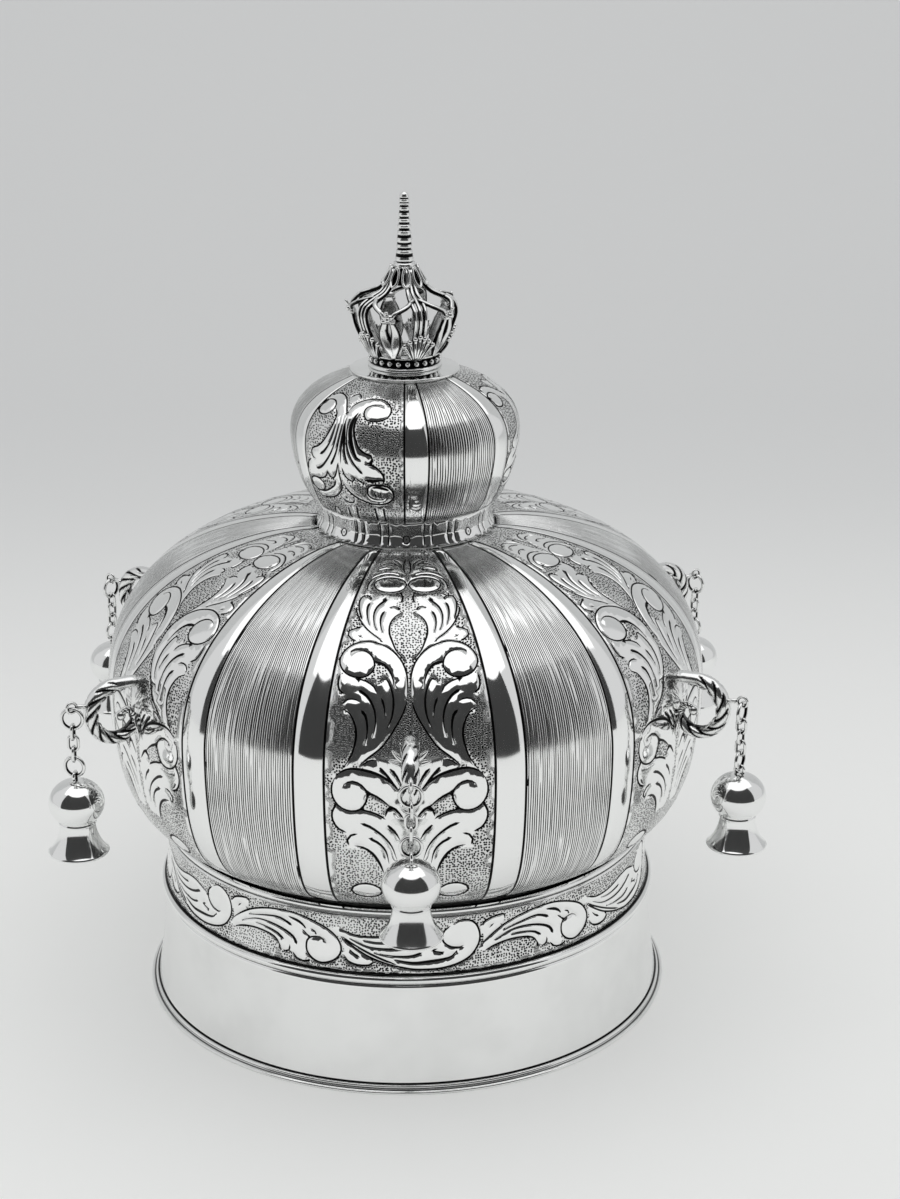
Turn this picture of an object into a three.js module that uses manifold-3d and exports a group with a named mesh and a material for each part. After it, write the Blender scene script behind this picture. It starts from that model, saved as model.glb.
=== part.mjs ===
// Silver crown for a scroll: a hollow stacked body with six bell arms and a small openwork crown on top.
// Millimetres, +Z up, origin at the middle of the foot's underside. Azimuth 0 is -Y, growing towards +X.
import * as THREE from "three";
import { mergeVertices } from "three/addons/utils/BufferGeometryUtils.js";
import Module from "manifold-3d";

const at = (radius, height) => new THREE.Vector2(radius, height);

// Driving dimensions
const wall = 1; // sheet of the raised pieces
const gap = 0.3; // clearance left between pieces that touch
const foot = { radius: 100, bead: 98.4, inner: 94.6, flange: 1.2, height: 2.8, edge: 0.3 };
const collar = { foot: 97, waist: 94.2, top: 93.3, height: 37.4 };
const moulding = { radius: 94.8, inner: 91.4, height: 3.3 };
const band = { foot: 92.8, waist: 91.7, top: 92.2, height: 22.2 };
const seat = { radius: 92.2, inner: 85.8, height: 2.4 };
const dome = {
  foot: 88.5,
  footFlare: at(13.8, 6.3), // where the wall heads from the foot
  belly: 41, // how far below the widest place the wall is held upright
  widest: 111.2,
  widestZ: 125,
  shoulder: 48, // how far above it
  topFlare: at(20, 1.6), // where the wall heads back from the junction
  junction: 33,
  junctionZ: 182.6,
};
const neck = {
  foot: 33.2,
  throat: 31.5,
  throatZ: 187,
  top: 32.4,
  topZ: 192.2,
  flare: at(4.8, 2.4), // where the bulb's wall heads from the top
};
const bulb = {
  belly: 9,
  widest: 41.8,
  widestZ: 218,
  shoulder: 10.7,
  topFlare: at(15.4, -4.9),
  top: 19.4,
  topZ: 239.9,
};
const cap = { radius: 19.8, ledge: 14.2, height: 1.6 };
const mini = {
  foot: 13.4,
  body: 12.7,
  inner: 10.4,
  baseHeight: 5.2,
  widest: 18.6,
  top: 279.3,
  straps: 5,
  firstStrap: 17.5,
};
const spire = { foot: 3.4, tip: 1.7, top: 304.5, rings: 12, groove: 0.55, knob: 2 };
const arm = {
  count: 6,
  scrollR: 118.6,
  scrollZ: 132.4,
  radius: 10,
  openTurn: 190,
  curlR: 114.8,
  curlZ: 129.4,
  curlRadius: 2.4,
  curlTurn: 440,
};
const ring = { radius: 3.7, wire: 0.65, centreR: 135.4, centreZ: 132.9 };
const link = { wire: 0.55, halfWidth: 1.75, hole: 4.47 };
const lowRing = { radius: 3.5, wire: 0.65 };
const eye = { radius: 1.85, wire: 0.5, above: 0.35 };
const bell = { sphere: 9.9, waist: 6.35, skirt: 10.8, wall: 0.7, centreZ: 99.85, height: 28 };
const bail = { radius: 1.8, wire: 0.55, height: 111 };

const lathed = 36; // sides of the large turned pieces, the same under each arm
const slim = 24; // sides of the bulb's pieces
const fine = 10; // sides of the small turned pieces
const turn = 2 * Math.PI;

const silver = (name, colour, roughness) =>
  new THREE.MeshStandardMaterial({ name, color: colour, roughness, metalness: 1 });
const polished = silver("polished silver", 0xe6e7e6, 0.12);
const engraved = silver("engraved silver", 0xcfd0cf, 0.25);
const cast = silver("cast silver", 0xbfc0bf, 0.3);

const wasm = await Module();
wasm.setup();

// A closed geometry as a solid for joining.
function solid(geometry) {
  const bare = geometry.index ? geometry.toNonIndexed() : geometry.clone();
  bare.deleteAttribute("normal");
  bare.deleteAttribute("uv");
  const merged = mergeVertices(bare, 1e-4);
  const vertProperties = merged.attributes.position.array;
  const triVerts = new Uint32Array(merged.index.array);
  return new wasm.Manifold(new wasm.Mesh({ numProp: 3, vertProperties, triVerts }));
}

function geometryOf(made) {
  const { vertProperties, triVerts } = made.getMesh();
  const geometry = new THREE.BufferGeometry();
  geometry.setAttribute("position", new THREE.BufferAttribute(vertProperties, 3));
  geometry.setIndex(new THREE.BufferAttribute(triVerts, 1));
  return geometry;
}

const join = (geometries) =>
  geometryOf(geometries.map(solid).reduce((whole, piece) => whole.add(piece)));

// A profile in radius and height, turned about the Z axis. An open profile starts and ends on the axis.
const turned = (profile, sides) => new THREE.LatheGeometry(profile, sides).rotateX(Math.PI / 2);

// A profile that runs upwards, moved inwards by a distance.
function movedIn(profile, distance) {
  return profile.map((point, i) => {
    const before = profile[Math.max(i - 1, 0)];
    const after = profile[Math.min(i + 1, profile.length - 1)];
    const along = after.clone().sub(before).normalize();
    return at(point.x - along.y * distance, point.y + along.x * distance);
  });
}

// The closed wall under an outer profile that runs upwards.
function shell(outer, thickness) {
  const inner = movedIn(outer, thickness);
  inner[0].y = outer[0].y;
  return [...outer, ...inner.reverse(), outer[0]];
}

// A turned ring with square corners, from a height up.
function plainRing(inner, outer, low, height) {
  const corners = [at(inner, low), at(outer, low), at(outer, low + height), at(inner, low + height)];
  return turned([...corners, corners[0]], lathed);
}

const footZ = 0;
const collarZ = foot.height + gap;
const mouldingZ = collarZ + collar.height + gap;
const bandZ = mouldingZ + moulding.height + gap;
const seatZ = bandZ + band.height + gap;
const domeZ = seatZ + seat.height + gap;
const capZ = bulb.topZ + gap;
const miniZ = capZ + cap.height + gap;

const root = new THREE.Group();

function addPiece(name, geometry, material, parent = root) {
  const mesh = new THREE.Mesh(geometry, material);
  mesh.name = name;
  parent.add(mesh);
  return mesh;
}

function footRing() {
  const profile = [
    at(foot.inner, footZ),
    at(foot.radius, footZ),
    at(foot.radius, foot.flange - foot.edge),
    at(foot.bead, foot.flange),
    at(foot.bead - foot.edge, foot.height),
    at(foot.inner, foot.height),
  ];
  return turned([...profile, profile[0]], lathed);
}

// A low band whose wall is drawn in at the middle.
function wasted({ foot: low, waist, top, height }, base) {
  const outer = new THREE.QuadraticBezierCurve(
    at(low, base),
    at(2 * waist - (low + top) / 2, base + height / 2),
    at(top, base + height),
  );
  return turned(shell(outer.getPoints(2), wall), lathed);
}

function halfRound() {
  const section = [at(moulding.inner, mouldingZ)];
  for (let i = 0; i <= 3; i++) {
    const angle = (i / 3 - 0.5) * Math.PI;
    const bulge = (moulding.radius - moulding.inner) * 0.5;
    section.push(
      at(
        moulding.radius - bulge + bulge * Math.cos(angle),
        mouldingZ + (moulding.height / 2) * (1 + Math.sin(angle)),
      ),
    );
  }
  section.push(at(moulding.inner, mouldingZ + moulding.height));
  return turned([...section, section[0]], lathed);
}

function domeProfile() {
  const widest = at(dome.widest, dome.widestZ);
  const low = at(dome.foot, domeZ);
  const high = at(dome.junction, dome.junctionZ);
  const lower = new THREE.CubicBezierCurve(
    low,
    low.clone().add(dome.footFlare),
    at(dome.widest, dome.widestZ - dome.belly),
    widest,
  );
  const upper = new THREE.CubicBezierCurve(
    widest,
    at(dome.widest, dome.widestZ + dome.shoulder),
    high.clone().add(dome.topFlare),
    high,
  );
  return [...lower.getPoints(4), ...upper.getPoints(5).slice(1)];
}

const domeShell = () => turned(shell(domeProfile(), wall), lathed);

// The dome as a filled form a little larger than it is, which trims what is soldered to it.
function domeTrimmer() {
  const grown = movedIn(domeProfile(), -gap);
  return turned([at(0, domeZ), ...grown, at(0, dome.junctionZ + gap)], lathed);
}

function bulbShell() {
  const start = at(neck.top, neck.topZ);
  const widest = at(bulb.widest, bulb.widestZ);
  const high = at(bulb.top, bulb.topZ);
  const bowl = new THREE.CubicBezierCurve(
    start,
    start.clone().add(neck.flare),
    at(bulb.widest, bulb.widestZ - bulb.belly),
    widest,
  );
  const crown = new THREE.CubicBezierCurve(
    widest,
    at(bulb.widest, bulb.widestZ + bulb.shoulder),
    high.clone().add(bulb.topFlare),
    high,
  );
  const outer = [
    at(neck.foot, dome.junctionZ + gap),
    at(neck.throat, neck.throatZ),
    ...bowl.getPoints(4),
    ...crown.getPoints(4).slice(1),
  ];
  return turned(shell(outer, wall), slim);
}

function capDisc() {
  const profile = [
    at(0, capZ),
    at(cap.radius - 0.6, capZ),
    at(cap.radius, capZ + 0.5),
    at(cap.radius - 0.9, capZ + 1),
    at(cap.ledge, capZ + cap.height),
    at(0, capZ + cap.height),
  ];
  return turned(profile, slim);
}

// A bar of a rectangular section along a curve in the plane of azimuth 0. Its width lies across that plane.
function bar(curve, steps, width, depth) {
  const section = new THREE.Shape();
  section.moveTo(-width / 2, -depth / 2);
  section.lineTo(width / 2, -depth / 2);
  section.lineTo(width / 2, depth / 2);
  section.lineTo(-width / 2, depth / 2);
  section.closePath();
  return new THREE.ExtrudeGeometry(section, { steps, extrudePath: curve, bevelEnabled: false });
}

// Round rod along a curve.
function rod(curve, steps, radius, sides) {
  const section = new THREE.Shape();
  for (let i = 0; i < sides; i++) {
    const angle = (i / sides) * turn;
    const point = at(radius * Math.cos(angle), radius * Math.sin(angle));
    if (i) section.lineTo(point.x, point.y);
    else section.moveTo(point.x, point.y);
  }
  section.closePath();
  return new THREE.ExtrudeGeometry(section, { steps, extrudePath: curve, bevelEnabled: false });
}

// A point at a radius, height and azimuth.
const around = (radius, height, azimuth = 0) =>
  new THREE.Vector3(radius * Math.sin(azimuth), -radius * Math.cos(azimuth), height);

// Base ring, straps with a fan at each foot, and between the straps a bud under a clasp with two branches.
function miniCrown() {
  const step = turn / mini.straps;
  const baseTop = miniZ + mini.baseHeight;
  const base = [
    at(mini.inner, miniZ),
    at(mini.foot, miniZ),
    at(mini.foot, miniZ + 1),
    at(mini.body, miniZ + 1.4),
    at(mini.body, baseTop),
    at(mini.inner, baseTop),
  ];
  const topCollar = [
    at(0, mini.top - 7.3),
    at(6.6, mini.top - 6.3),
    at(3.9, mini.top - 1.6),
    at(3.9, mini.top),
    at(0, mini.top),
  ];
  const strap = new THREE.CatmullRomCurve3([
    around(11.6, baseTop - 1.2),
    around(16.2, baseTop + 6.5),
    around(mini.widest - 0.2, baseTop + 14.5),
    around(mini.widest - 1.4, baseTop + 20),
    around(12.6, baseTop + 24.6),
    around(5, baseTop + 28.4),
  ]);
  const fan = new THREE.LineCurve3(around(12.4, baseTop - 1), around(16.9, baseTop + 7.2));
  const bud = new THREE.CatmullRomCurve3([
    around(11.8, baseTop - 1),
    around(16, baseTop + 6),
    around(18.6, baseTop + 13.2),
    around(21.4, baseTop + 17.6),
  ]);
  const branch = (side) =>
    new THREE.QuadraticBezierCurve3(
      around(mini.widest - 0.4, baseTop + 15),
      around(mini.widest + 0.8, baseTop + 19.5, side * 0.16),
      around(mini.widest - 4, baseTop + 22.4, side * step * 0.46),
    );
  const pieces = [turned([...base, base[0]], 15), turned(topCollar, fine)];
  for (let i = 0; i < mini.straps; i++) {
    const azimuth = THREE.MathUtils.degToRad(mini.firstStrap) + i * step;
    pieces.push(bar(strap, 6, 4.2, 1.5).rotateZ(azimuth));
    pieces.push(bar(fan, 1, 8, 1.4).rotateZ(azimuth));
    pieces.push(bar(bud, 3, 4.4, 1.4).rotateZ(azimuth + step / 2));
    pieces.push(rod(branch(-1), 2, 0.8, 4).rotateZ(azimuth + step / 2));
    pieces.push(rod(branch(1), 2, 0.8, 4).rotateZ(azimuth + step / 2));
  }
  return join(pieces);
}

function spireRod() {
  const base = mini.top + gap;
  const shaft = spire.top - spire.knob - base;
  const profile = [at(0, base)];
  for (let i = 0; i < spire.rings; i++) {
    const low = base + (i / spire.rings) * shaft;
    const high = base + ((i + 0.55) / spire.rings) * shaft;
    const crest = THREE.MathUtils.lerp(spire.foot, spire.tip, i / spire.rings);
    profile.push(at(crest, low), at(crest - spire.groove, high));
  }
  profile.push(at(spire.tip, base + shaft));
  profile.push(at(spire.tip * 0.75, spire.top - spire.knob / 4));
  profile.push(at(0, spire.top));
  return turned(profile, 6);
}

// A point of the arm's middle line, by the angle turned from the scroll's top, outwards and down.
// Past the open part the line is drawn in to a small curl.
function scrollPoint(degrees) {
  const drawn = THREE.MathUtils.clamp((degrees - arm.openTurn) / 80, 0, 1);
  const angle = THREE.MathUtils.degToRad(90 - degrees);
  const radius = THREE.MathUtils.lerp(arm.radius, arm.curlRadius, drawn);
  const centreR = THREE.MathUtils.lerp(arm.scrollR, arm.curlR, drawn);
  const centreZ = THREE.MathUtils.lerp(arm.scrollZ, arm.curlZ, drawn);
  return around(centreR + radius * Math.cos(angle), centreZ + radius * Math.sin(angle));
}

function scrollLine(from, to, count, start = []) {
  const points = [...start];
  for (let i = 0; i <= count; i++) points.push(scrollPoint(THREE.MathUtils.lerp(from, to, i / count)));
  return new THREE.CatmullRomCurve3(points);
}

// A wire ring lying in the plane across the arm, or turned into the arm's own plane.
function wireRing(radius, wire, sides, stretch = 0) {
  const geometry = new THREE.TorusGeometry(radius, wire, 4, sides);
  const spots = geometry.attributes.position;
  for (let i = 0; i < spots.count; i++) {
    const height = spots.getY(i);
    if (Math.abs(height) > wire * 0.1) spots.setY(i, height + Math.sign(height) * stretch);
  }
  return geometry.rotateX(Math.PI / 2);
}

const eyeZ = ring.centreZ + ring.radius + eye.above;

function armPiece() {
  const fromDome = [around(106.3, arm.scrollZ + arm.radius - 0.6)];
  const scroll = bar(scrollLine(0, arm.openTurn, 8, fromDome), 13, 5, 4);
  const curl = bar(scrollLine(arm.openTurn - 8, arm.curlTurn, 9), 10, 3.4, 2);
  const rootPlate = new THREE.CatmullRomCurve3([
    around(dome.widest + 1.2, 121.5),
    around(dome.widest + 1.2, 132),
    around(dome.widest - 3, 146.5),
  ]);
  const plate = bar(rootPlate, 3, 7, 1.4);
  const stub = new THREE.LineCurve3(
    around(arm.scrollR + arm.radius - 0.8, eyeZ - 1.2),
    around(ring.centreR - 1.6, eyeZ),
  );
  const loop = wireRing(eye.radius, eye.wire, 8).rotateZ(Math.PI / 2).translate(0, -ring.centreR, eyeZ);
  const whole = solid(join([scroll, curl, plate, rod(stub, 1, 0.8, 5), loop]));
  return geometryOf(whole.subtract(solid(domeTrimmer())));
}

function bellPiece() {
  const outer = [];
  const bottom = bell.centreZ + bell.sphere - bell.height;
  const waistZ = bell.centreZ - Math.sqrt(bell.sphere ** 2 - bell.waist ** 2);
  const skirt = new THREE.QuadraticBezierCurve(
    at(bell.skirt, bottom),
    at(bell.waist + 0.9, bottom + 4.4),
    at(bell.waist, waistZ),
  );
  outer.push(...skirt.getPoints(3));
  const start = Math.asin((waistZ - bell.centreZ) / bell.sphere);
  const steps = 4;
  for (let i = 1; i <= steps; i++) {
    const angle = THREE.MathUtils.lerp(start, Math.PI / 2, i / steps);
    const radius = i === steps ? 0 : bell.sphere * Math.cos(angle);
    outer.push(at(radius, bell.centreZ + bell.sphere * Math.sin(angle)));
  }
  const share = 1 - bell.wall / bell.sphere;
  const inner = outer.map((point, i) => {
    if (i < 4) return at(point.x - bell.wall, point.y + (i ? 0.2 : 0));
    return at(point.x * share, bell.centreZ + (point.y - bell.centreZ) * share);
  });
  const body = turned([...outer, ...inner.reverse(), outer[0]], fine);
  const loop = wireRing(bail.radius, bail.wire, 8).rotateZ(Math.PI / 2).translate(0, 0, bail.height);
  return join([body, loop]).translate(0, -ring.centreR, 0);
}

addPiece("foot_ring", footRing(), polished);
addPiece("collar", wasted(collar, collarZ), polished);
addPiece("collar_moulding", halfRound(), polished);
addPiece("engraved_band", wasted(band, bandZ), engraved);
addPiece("seat_ring", plainRing(seat.inner, seat.radius, seatZ, seat.height), polished);
addPiece("dome", domeShell(), engraved);
addPiece("bulb", bulbShell(), engraved);
addPiece("cap", capDisc(), polished);
addPiece("mini_crown", miniCrown(), cast);
addPiece("spire", spireRod(), cast);

const armShape = armPiece();
const bellShape = bellPiece();
const ringShape = wireRing(ring.radius, ring.wire, 8);
const linkShape = wireRing(link.halfWidth, link.wire, 6, link.hole / 2 + link.wire - link.halfWidth);
const lowRingShape = wireRing(lowRing.radius, lowRing.wire, 8);
const linkNames = ["link_a", "link_b", "link_c"];

for (let i = 0; i < arm.count; i++) {
  const label = i + 1;
  const spoke = new THREE.Group();
  spoke.rotation.z = (i / arm.count) * turn;
  root.add(spoke);
  addPiece("arm_" + label, armShape, cast, spoke);
  const hang = (name, shape, height, across) => {
    const piece = addPiece(name + "_" + label, shape, polished, spoke);
    piece.position.set(0, -ring.centreR, height);
    piece.rotation.z = across ? 0 : Math.PI / 2;
  };
  hang("ring_top", ringShape, ring.centreZ, true);
  let holeTop = ring.centreZ - ring.radius + ring.wire + gap;
  linkNames.forEach((name, k) => {
    hang(name, linkShape, holeTop - link.hole / 2, k % 2 === 1);
    holeTop += gap - link.hole;
  });
  hang("ring_low", lowRingShape, holeTop - lowRing.radius + lowRing.wire, true);
  addPiece("bell_" + label, bellShape, polished, spoke);
}

export default root;
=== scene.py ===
import math

import bmesh
import bpy
import numpy as np
from mathutils import Matrix, Vector
from mathutils.geometry import delaunay_2d_cdt


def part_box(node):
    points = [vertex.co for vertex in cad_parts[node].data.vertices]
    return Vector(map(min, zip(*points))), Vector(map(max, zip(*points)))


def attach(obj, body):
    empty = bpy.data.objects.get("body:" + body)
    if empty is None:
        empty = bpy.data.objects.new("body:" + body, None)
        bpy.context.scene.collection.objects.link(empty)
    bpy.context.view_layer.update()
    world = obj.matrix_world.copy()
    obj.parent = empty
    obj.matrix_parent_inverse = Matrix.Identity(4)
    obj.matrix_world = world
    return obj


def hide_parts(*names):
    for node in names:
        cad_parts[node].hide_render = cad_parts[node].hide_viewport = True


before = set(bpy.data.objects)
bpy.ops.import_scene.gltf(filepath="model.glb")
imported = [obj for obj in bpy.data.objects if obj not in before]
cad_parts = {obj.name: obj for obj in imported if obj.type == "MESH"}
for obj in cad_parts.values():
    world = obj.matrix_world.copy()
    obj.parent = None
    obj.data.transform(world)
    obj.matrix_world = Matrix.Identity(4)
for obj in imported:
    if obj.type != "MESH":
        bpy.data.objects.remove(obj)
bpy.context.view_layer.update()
print("frame loaded")

mm = 0.001
random = np.random.default_rng(11)


class Tone:
    # a shader socket that can be used in sums like a number
    def __init__(self, tree, socket):
        self.tree = tree
        self.socket = socket

    def maths(self, operation, first, second=None):
        made = self.tree.nodes.new("ShaderNodeMath")
        made.operation = operation
        for slotAt, value in enumerate((first, second)):
            if isinstance(value, Tone):
                self.tree.links.new(value.socket, made.inputs[slotAt])
            elif value is not None:
                made.inputs[slotAt].default_value = value
        return Tone(self.tree, made.outputs[0])

    def __add__(self, other):
        return self.maths("ADD", self, other)

    def __sub__(self, other):
        return self.maths("SUBTRACT", self, other)

    def __rsub__(self, other):
        return self.maths("SUBTRACT", other, self)

    def __mul__(self, other):
        return self.maths("MULTIPLY", self, other)

    def __truediv__(self, other):
        return self.maths("DIVIDE", self, other)

    __radd__ = __add__
    __rmul__ = __mul__

    def above(self, low, high):
        # 0 below low, 1 above high, smooth between them
        share = self.maths("MINIMUM", self.maths("MAXIMUM", (self - low) / (high - low), 0.0), 1.0)
        return share * share * (3.0 - 2.0 * share)


class Finish:
    # one material under construction
    def __init__(self, name):
        self.material = bpy.data.materials.new(name)
        self.material.use_nodes = True
        self.tree = self.material.node_tree
        self.shader = self.tree.nodes["Principled BSDF"]
        self.shader.inputs["Metallic"].default_value = 1.0

    def node(self, kind, settings=None, inputs=None, output=0):
        made = self.tree.nodes.new(kind)
        for name, value in (settings or {}).items():
            setattr(made, name, value)
        for name, value in (inputs or {}).items():
            if isinstance(value, Tone):
                self.tree.links.new(value.socket, made.inputs[name])
            else:
                made.inputs[name].default_value = value
        return Tone(self.tree, made.outputs[output])

    def place(self):
        return self.node("ShaderNodeTexCoord", output="Object")

    def mark(self, name):
        return self.node("ShaderNodeAttribute", {"attribute_name": name}, output="Fac")

    def noise(self, scale, detail=2.0):
        inputs = {"Vector": self.place(), "Scale": scale, "Detail": detail}
        return self.node("ShaderNodeTexNoise", inputs=inputs, output="Fac")

    def mix(self, share, first, second):
        return self.node("ShaderNodeMix", {"data_type": "RGBA"}, {0: share, 6: first, 7: second}, output=2)

    def drive(self, name, tone):
        self.tree.links.new(tone.socket, self.shader.inputs[name])

    def bump(self, height, depth, strength=1.0):
        inputs = {"Height": height, "Distance": depth, "Strength": strength}
        self.drive("Normal", self.node("ShaderNodeBump", inputs=inputs))


silverTones = {
    "bright": (0.93, 0.935, 0.93, 1),
    "worn": (0.86, 0.865, 0.86, 1),
    "matted": (0.62, 0.625, 0.62, 1),
    "oxide": (0.008, 0.008, 0.008, 1),
}

polished = {
    "smearScale": 38.0,
    "roughness": 0.07,
    "smearRoughness": 0.07,
    "cutRoughness": 0.2,
    "rippleScale": 55.0,
    "rippleDepth": 0.0003,
}


def polishedSilver():
    made = Finish("polishedSilver")
    smear = made.noise(polished["smearScale"], 3.0)
    skin = made.mix(smear.above(0.35, 0.75), silverTones["bright"], silverTones["worn"])
    cut = made.mark("groove").above(0.1, 0.6)
    made.drive("Base Color", made.mix(cut, skin, silverTones["oxide"]))
    smeared = smear.above(0.3, 0.8) * polished["smearRoughness"]
    made.drive("Roughness", smeared + polished["roughness"] + cut * polished["cutRoughness"])
    # hand-worked sheet is never quite even
    made.bump(made.noise(polished["rippleScale"], 1.0), polished["rippleDepth"], 0.1)
    return made.material


engraved = {
    "dotSpread": 0.7,
    "dotRadii": (0.18, 0.3),  # of a dot's black middle and of its rim, mm
    "patchScale": 70.0,
    "patchGrowth": 0.1,  # how much wider the dots get in a patch, mm
    "smearScale": 45.0,
    "roughness": 0.07,
    "smearRoughness": 0.05,
    "brushedRoughness": 0.14,
    "mattedRoughness": -0.04,
    "cutRoughness": 0.3,
    "rippleScale": 60.0,
    "pitDepth": 0.00022,
}


def engravedSilver():
    # black cuts, matted ground with punched dots, and brushed or bright metal by the point marks
    made = Finish("engravedSilver")
    place = made.node("ShaderNodeAttribute", {"attribute_name": "flat"}, output="Vector")
    cells = {"feature": "F1", "voronoi_dimensions": "2D"}
    spread = {"Vector": place, "Scale": 1.0, "Randomness": engraved["dotSpread"]}
    dots = made.node("ShaderNodeTexVoronoi", cells, spread, output="Distance")
    matted = made.mark("ground").above(0.35, 0.65)
    brushed = made.mark("ground").above(0.05, 0.3)
    cut = made.mark("groove").above(0.12, 0.42)
    patch = made.noise(engraved["patchScale"], 2.0).above(0.35, 0.62)
    pit = (1.0 - (dots - patch * engraved["patchGrowth"]).above(*engraved["dotRadii"])) * matted
    skin = made.mix(matted * (0.35 + patch * 0.3), silverTones["bright"], silverTones["matted"])
    skin = made.mix((pit * 0.96 + cut).above(0.0, 1.0), skin, silverTones["oxide"])
    made.drive("Base Color", skin)
    smear = made.noise(engraved["smearScale"], 2.0).above(0.3, 0.8)
    roughness = smear * engraved["smearRoughness"] + engraved["roughness"]
    roughness = roughness + brushed * engraved["brushedRoughness"] + matted * engraved["mattedRoughness"]
    made.drive("Roughness", roughness + cut * engraved["cutRoughness"])
    made.bump(pit * -1.0 + made.noise(engraved["rippleScale"], 1.0) * 0.5, engraved["pitDepth"], 0.5)
    return made.material


cast = {"grainScale": 420.0, "grainDepth": 0.00012, "roughness": 0.12, "darkRoughness": 0.25}


def castSilver():
    made = Finish("castSilver")
    grain = made.noise(cast["grainScale"], 3.0)
    dark = (made.mark("groove") + grain.above(0.55, 0.85) * 0.5).above(0.25, 0.7)
    made.drive("Base Color", made.mix(dark, silverTones["worn"], silverTones["oxide"]))
    even = grain.above(0.3, 0.8) * cast["roughness"] + cast["roughness"]
    made.drive("Roughness", even + dark * cast["darkRoughness"])
    made.bump(grain, cast["grainDepth"], 0.6)
    return made.material


wire = {"grainScale": 300.0, "roughness": 0.1}


def wireSilver():
    made = Finish("wireSilver")
    grain = made.noise(wire["grainScale"], 2.0)
    dark = (made.mark("groove") + grain.above(0.5, 0.85) * 0.4).above(0.1, 0.9)
    made.drive("Base Color", made.mix(dark, silverTones["worn"], silverTones["oxide"]))
    made.drive("Roughness", grain * wire["roughness"] + wire["roughness"])
    return made.material


materials = {
    "polished_silver": polishedSilver(),
    "engraved_silver": engravedSilver(),
    "cast_silver": castSilver(),
    "wire_silver": wireSilver(),
}
print("materials made")


def span(node):
    # radius, underside and top of a turned piece in millimetres
    low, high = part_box(node)
    return high.x / mm, low.z / mm, high.z / mm


class Sheet:
    # gathers points in millimetres, faces and point marks, then makes one mesh of them
    def __init__(self):
        self.points = []
        self.faces = []
        self.groove = []
        self.ground = []
        self.flat = []
        self.count = 0

    def add(self, points, faces, groove=None, ground=None, flat=None):
        points = np.asarray(points, float)
        total = len(points)
        self.points.append(points)
        self.faces += [tuple(int(i) + self.count for i in face) for face in faces]
        self.groove.append(np.zeros(total) if groove is None else np.asarray(groove, float))
        self.ground.append(np.zeros(total) if ground is None else np.asarray(ground, float))
        self.flat.append(np.zeros((total, 3)) if flat is None else np.c_[flat, np.zeros(total)])
        self.count += total

    def join(self, other, turnBy=0.0):
        points = turned(np.concatenate(other.points), turnBy)
        flat = np.concatenate(other.flat)[:, :2]
        self.add(points, other.faces, np.concatenate(other.groove), np.concatenate(other.ground), flat)

    def build(self, name, slot):
        mesh = bpy.data.meshes.new(name)
        mesh.from_pydata((np.concatenate(self.points) * mm).tolist(), [], self.faces)
        for label, values in (("groove", self.groove), ("ground", self.ground)):
            mark = mesh.attributes.new(label, "FLOAT", "POINT")
            mark.data.foreach_set("value", np.concatenate(values))
        flat = mesh.attributes.new("flat", "FLOAT_VECTOR", "POINT")
        flat.data.foreach_set("vector", np.concatenate(self.flat).ravel())
        work = bmesh.new()
        work.from_mesh(mesh)
        bmesh.ops.remove_doubles(work, verts=work.verts, dist=2e-6)
        bmesh.ops.dissolve_degenerate(work, edges=work.edges, dist=1e-7)
        bmesh.ops.recalc_face_normals(work, faces=work.faces)
        work.to_mesh(mesh)
        work.free()
        mesh.shade_smooth()
        mesh.materials.append(materials[slot])
        made = bpy.data.objects.new(name, mesh)
        bpy.context.scene.collection.objects.link(made)
        return made

    def finish(self, name, node, slot):
        # the finished piece that stands for one node
        made = self.build(name, slot)
        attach(made, "root")
        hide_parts(node)


def turned(points, degrees):
    angle = math.radians(degrees)
    c, s = math.cos(angle), math.sin(angle)
    x, y, z = np.asarray(points, float).T
    return np.stack([x * c - y * s, x * s + y * c, z], 1)


def around(radius, azimuth, height):
    # a point by radius, azimuth in degrees from the front, and height
    angle = np.radians(azimuth)
    return np.stack(np.broadcast_arrays(radius * np.sin(angle), -radius * np.cos(angle), height), -1)


def gridFaces(rows, columns, closed=False):
    faces = []
    for i in range(rows - 1):
        for j in range(columns if closed else columns - 1):
            k = (j + 1) % columns
            faces.append((i * columns + j, i * columns + k, (i + 1) * columns + k, (i + 1) * columns + j))
    return faces


def lathe(sheet, profile, sides, groove=None):
    # a closed profile, or one that starts and ends on the axis, turned about the axis
    profile = np.asarray(profile, float)
    steps = np.arange(sides) * 360 / sides
    rings = [around(r, steps, z) for r, z in profile]
    marks = np.repeat(np.zeros(len(profile)) if groove is None else groove, sides)
    sheet.add(np.concatenate(rings), gridFaces(len(profile), sides, True), marks)


def cubic(a, b, c, d, count):
    t = np.linspace(0, 1, count)[:, None]
    a, b, c, d = (np.asarray(p, float) for p in (a, b, c, d))
    return (1 - t) ** 3 * a + 3 * t * (1 - t) ** 2 * b + 3 * t * t * (1 - t) * c + t ** 3 * d


def hollowed(foot, waist, top, low, high, count):
    # a wall's outer line from foot to top that draws in to its waist halfway
    t = np.linspace(0, 1, count)[:, None]
    middle = np.array([2 * waist - (foot + top) / 2, (low + high) / 2])
    return (1 - t) ** 2 * np.array([foot, low]) + 2 * t * (1 - t) * middle + t * t * np.array([top, high])


def arcPoints(centre, radius, start, end, count):
    angles = np.radians(np.linspace(start, end, count))
    return np.stack([centre[0] + radius * np.cos(angles), centre[1] + radius * np.sin(angles)], 1)


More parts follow.
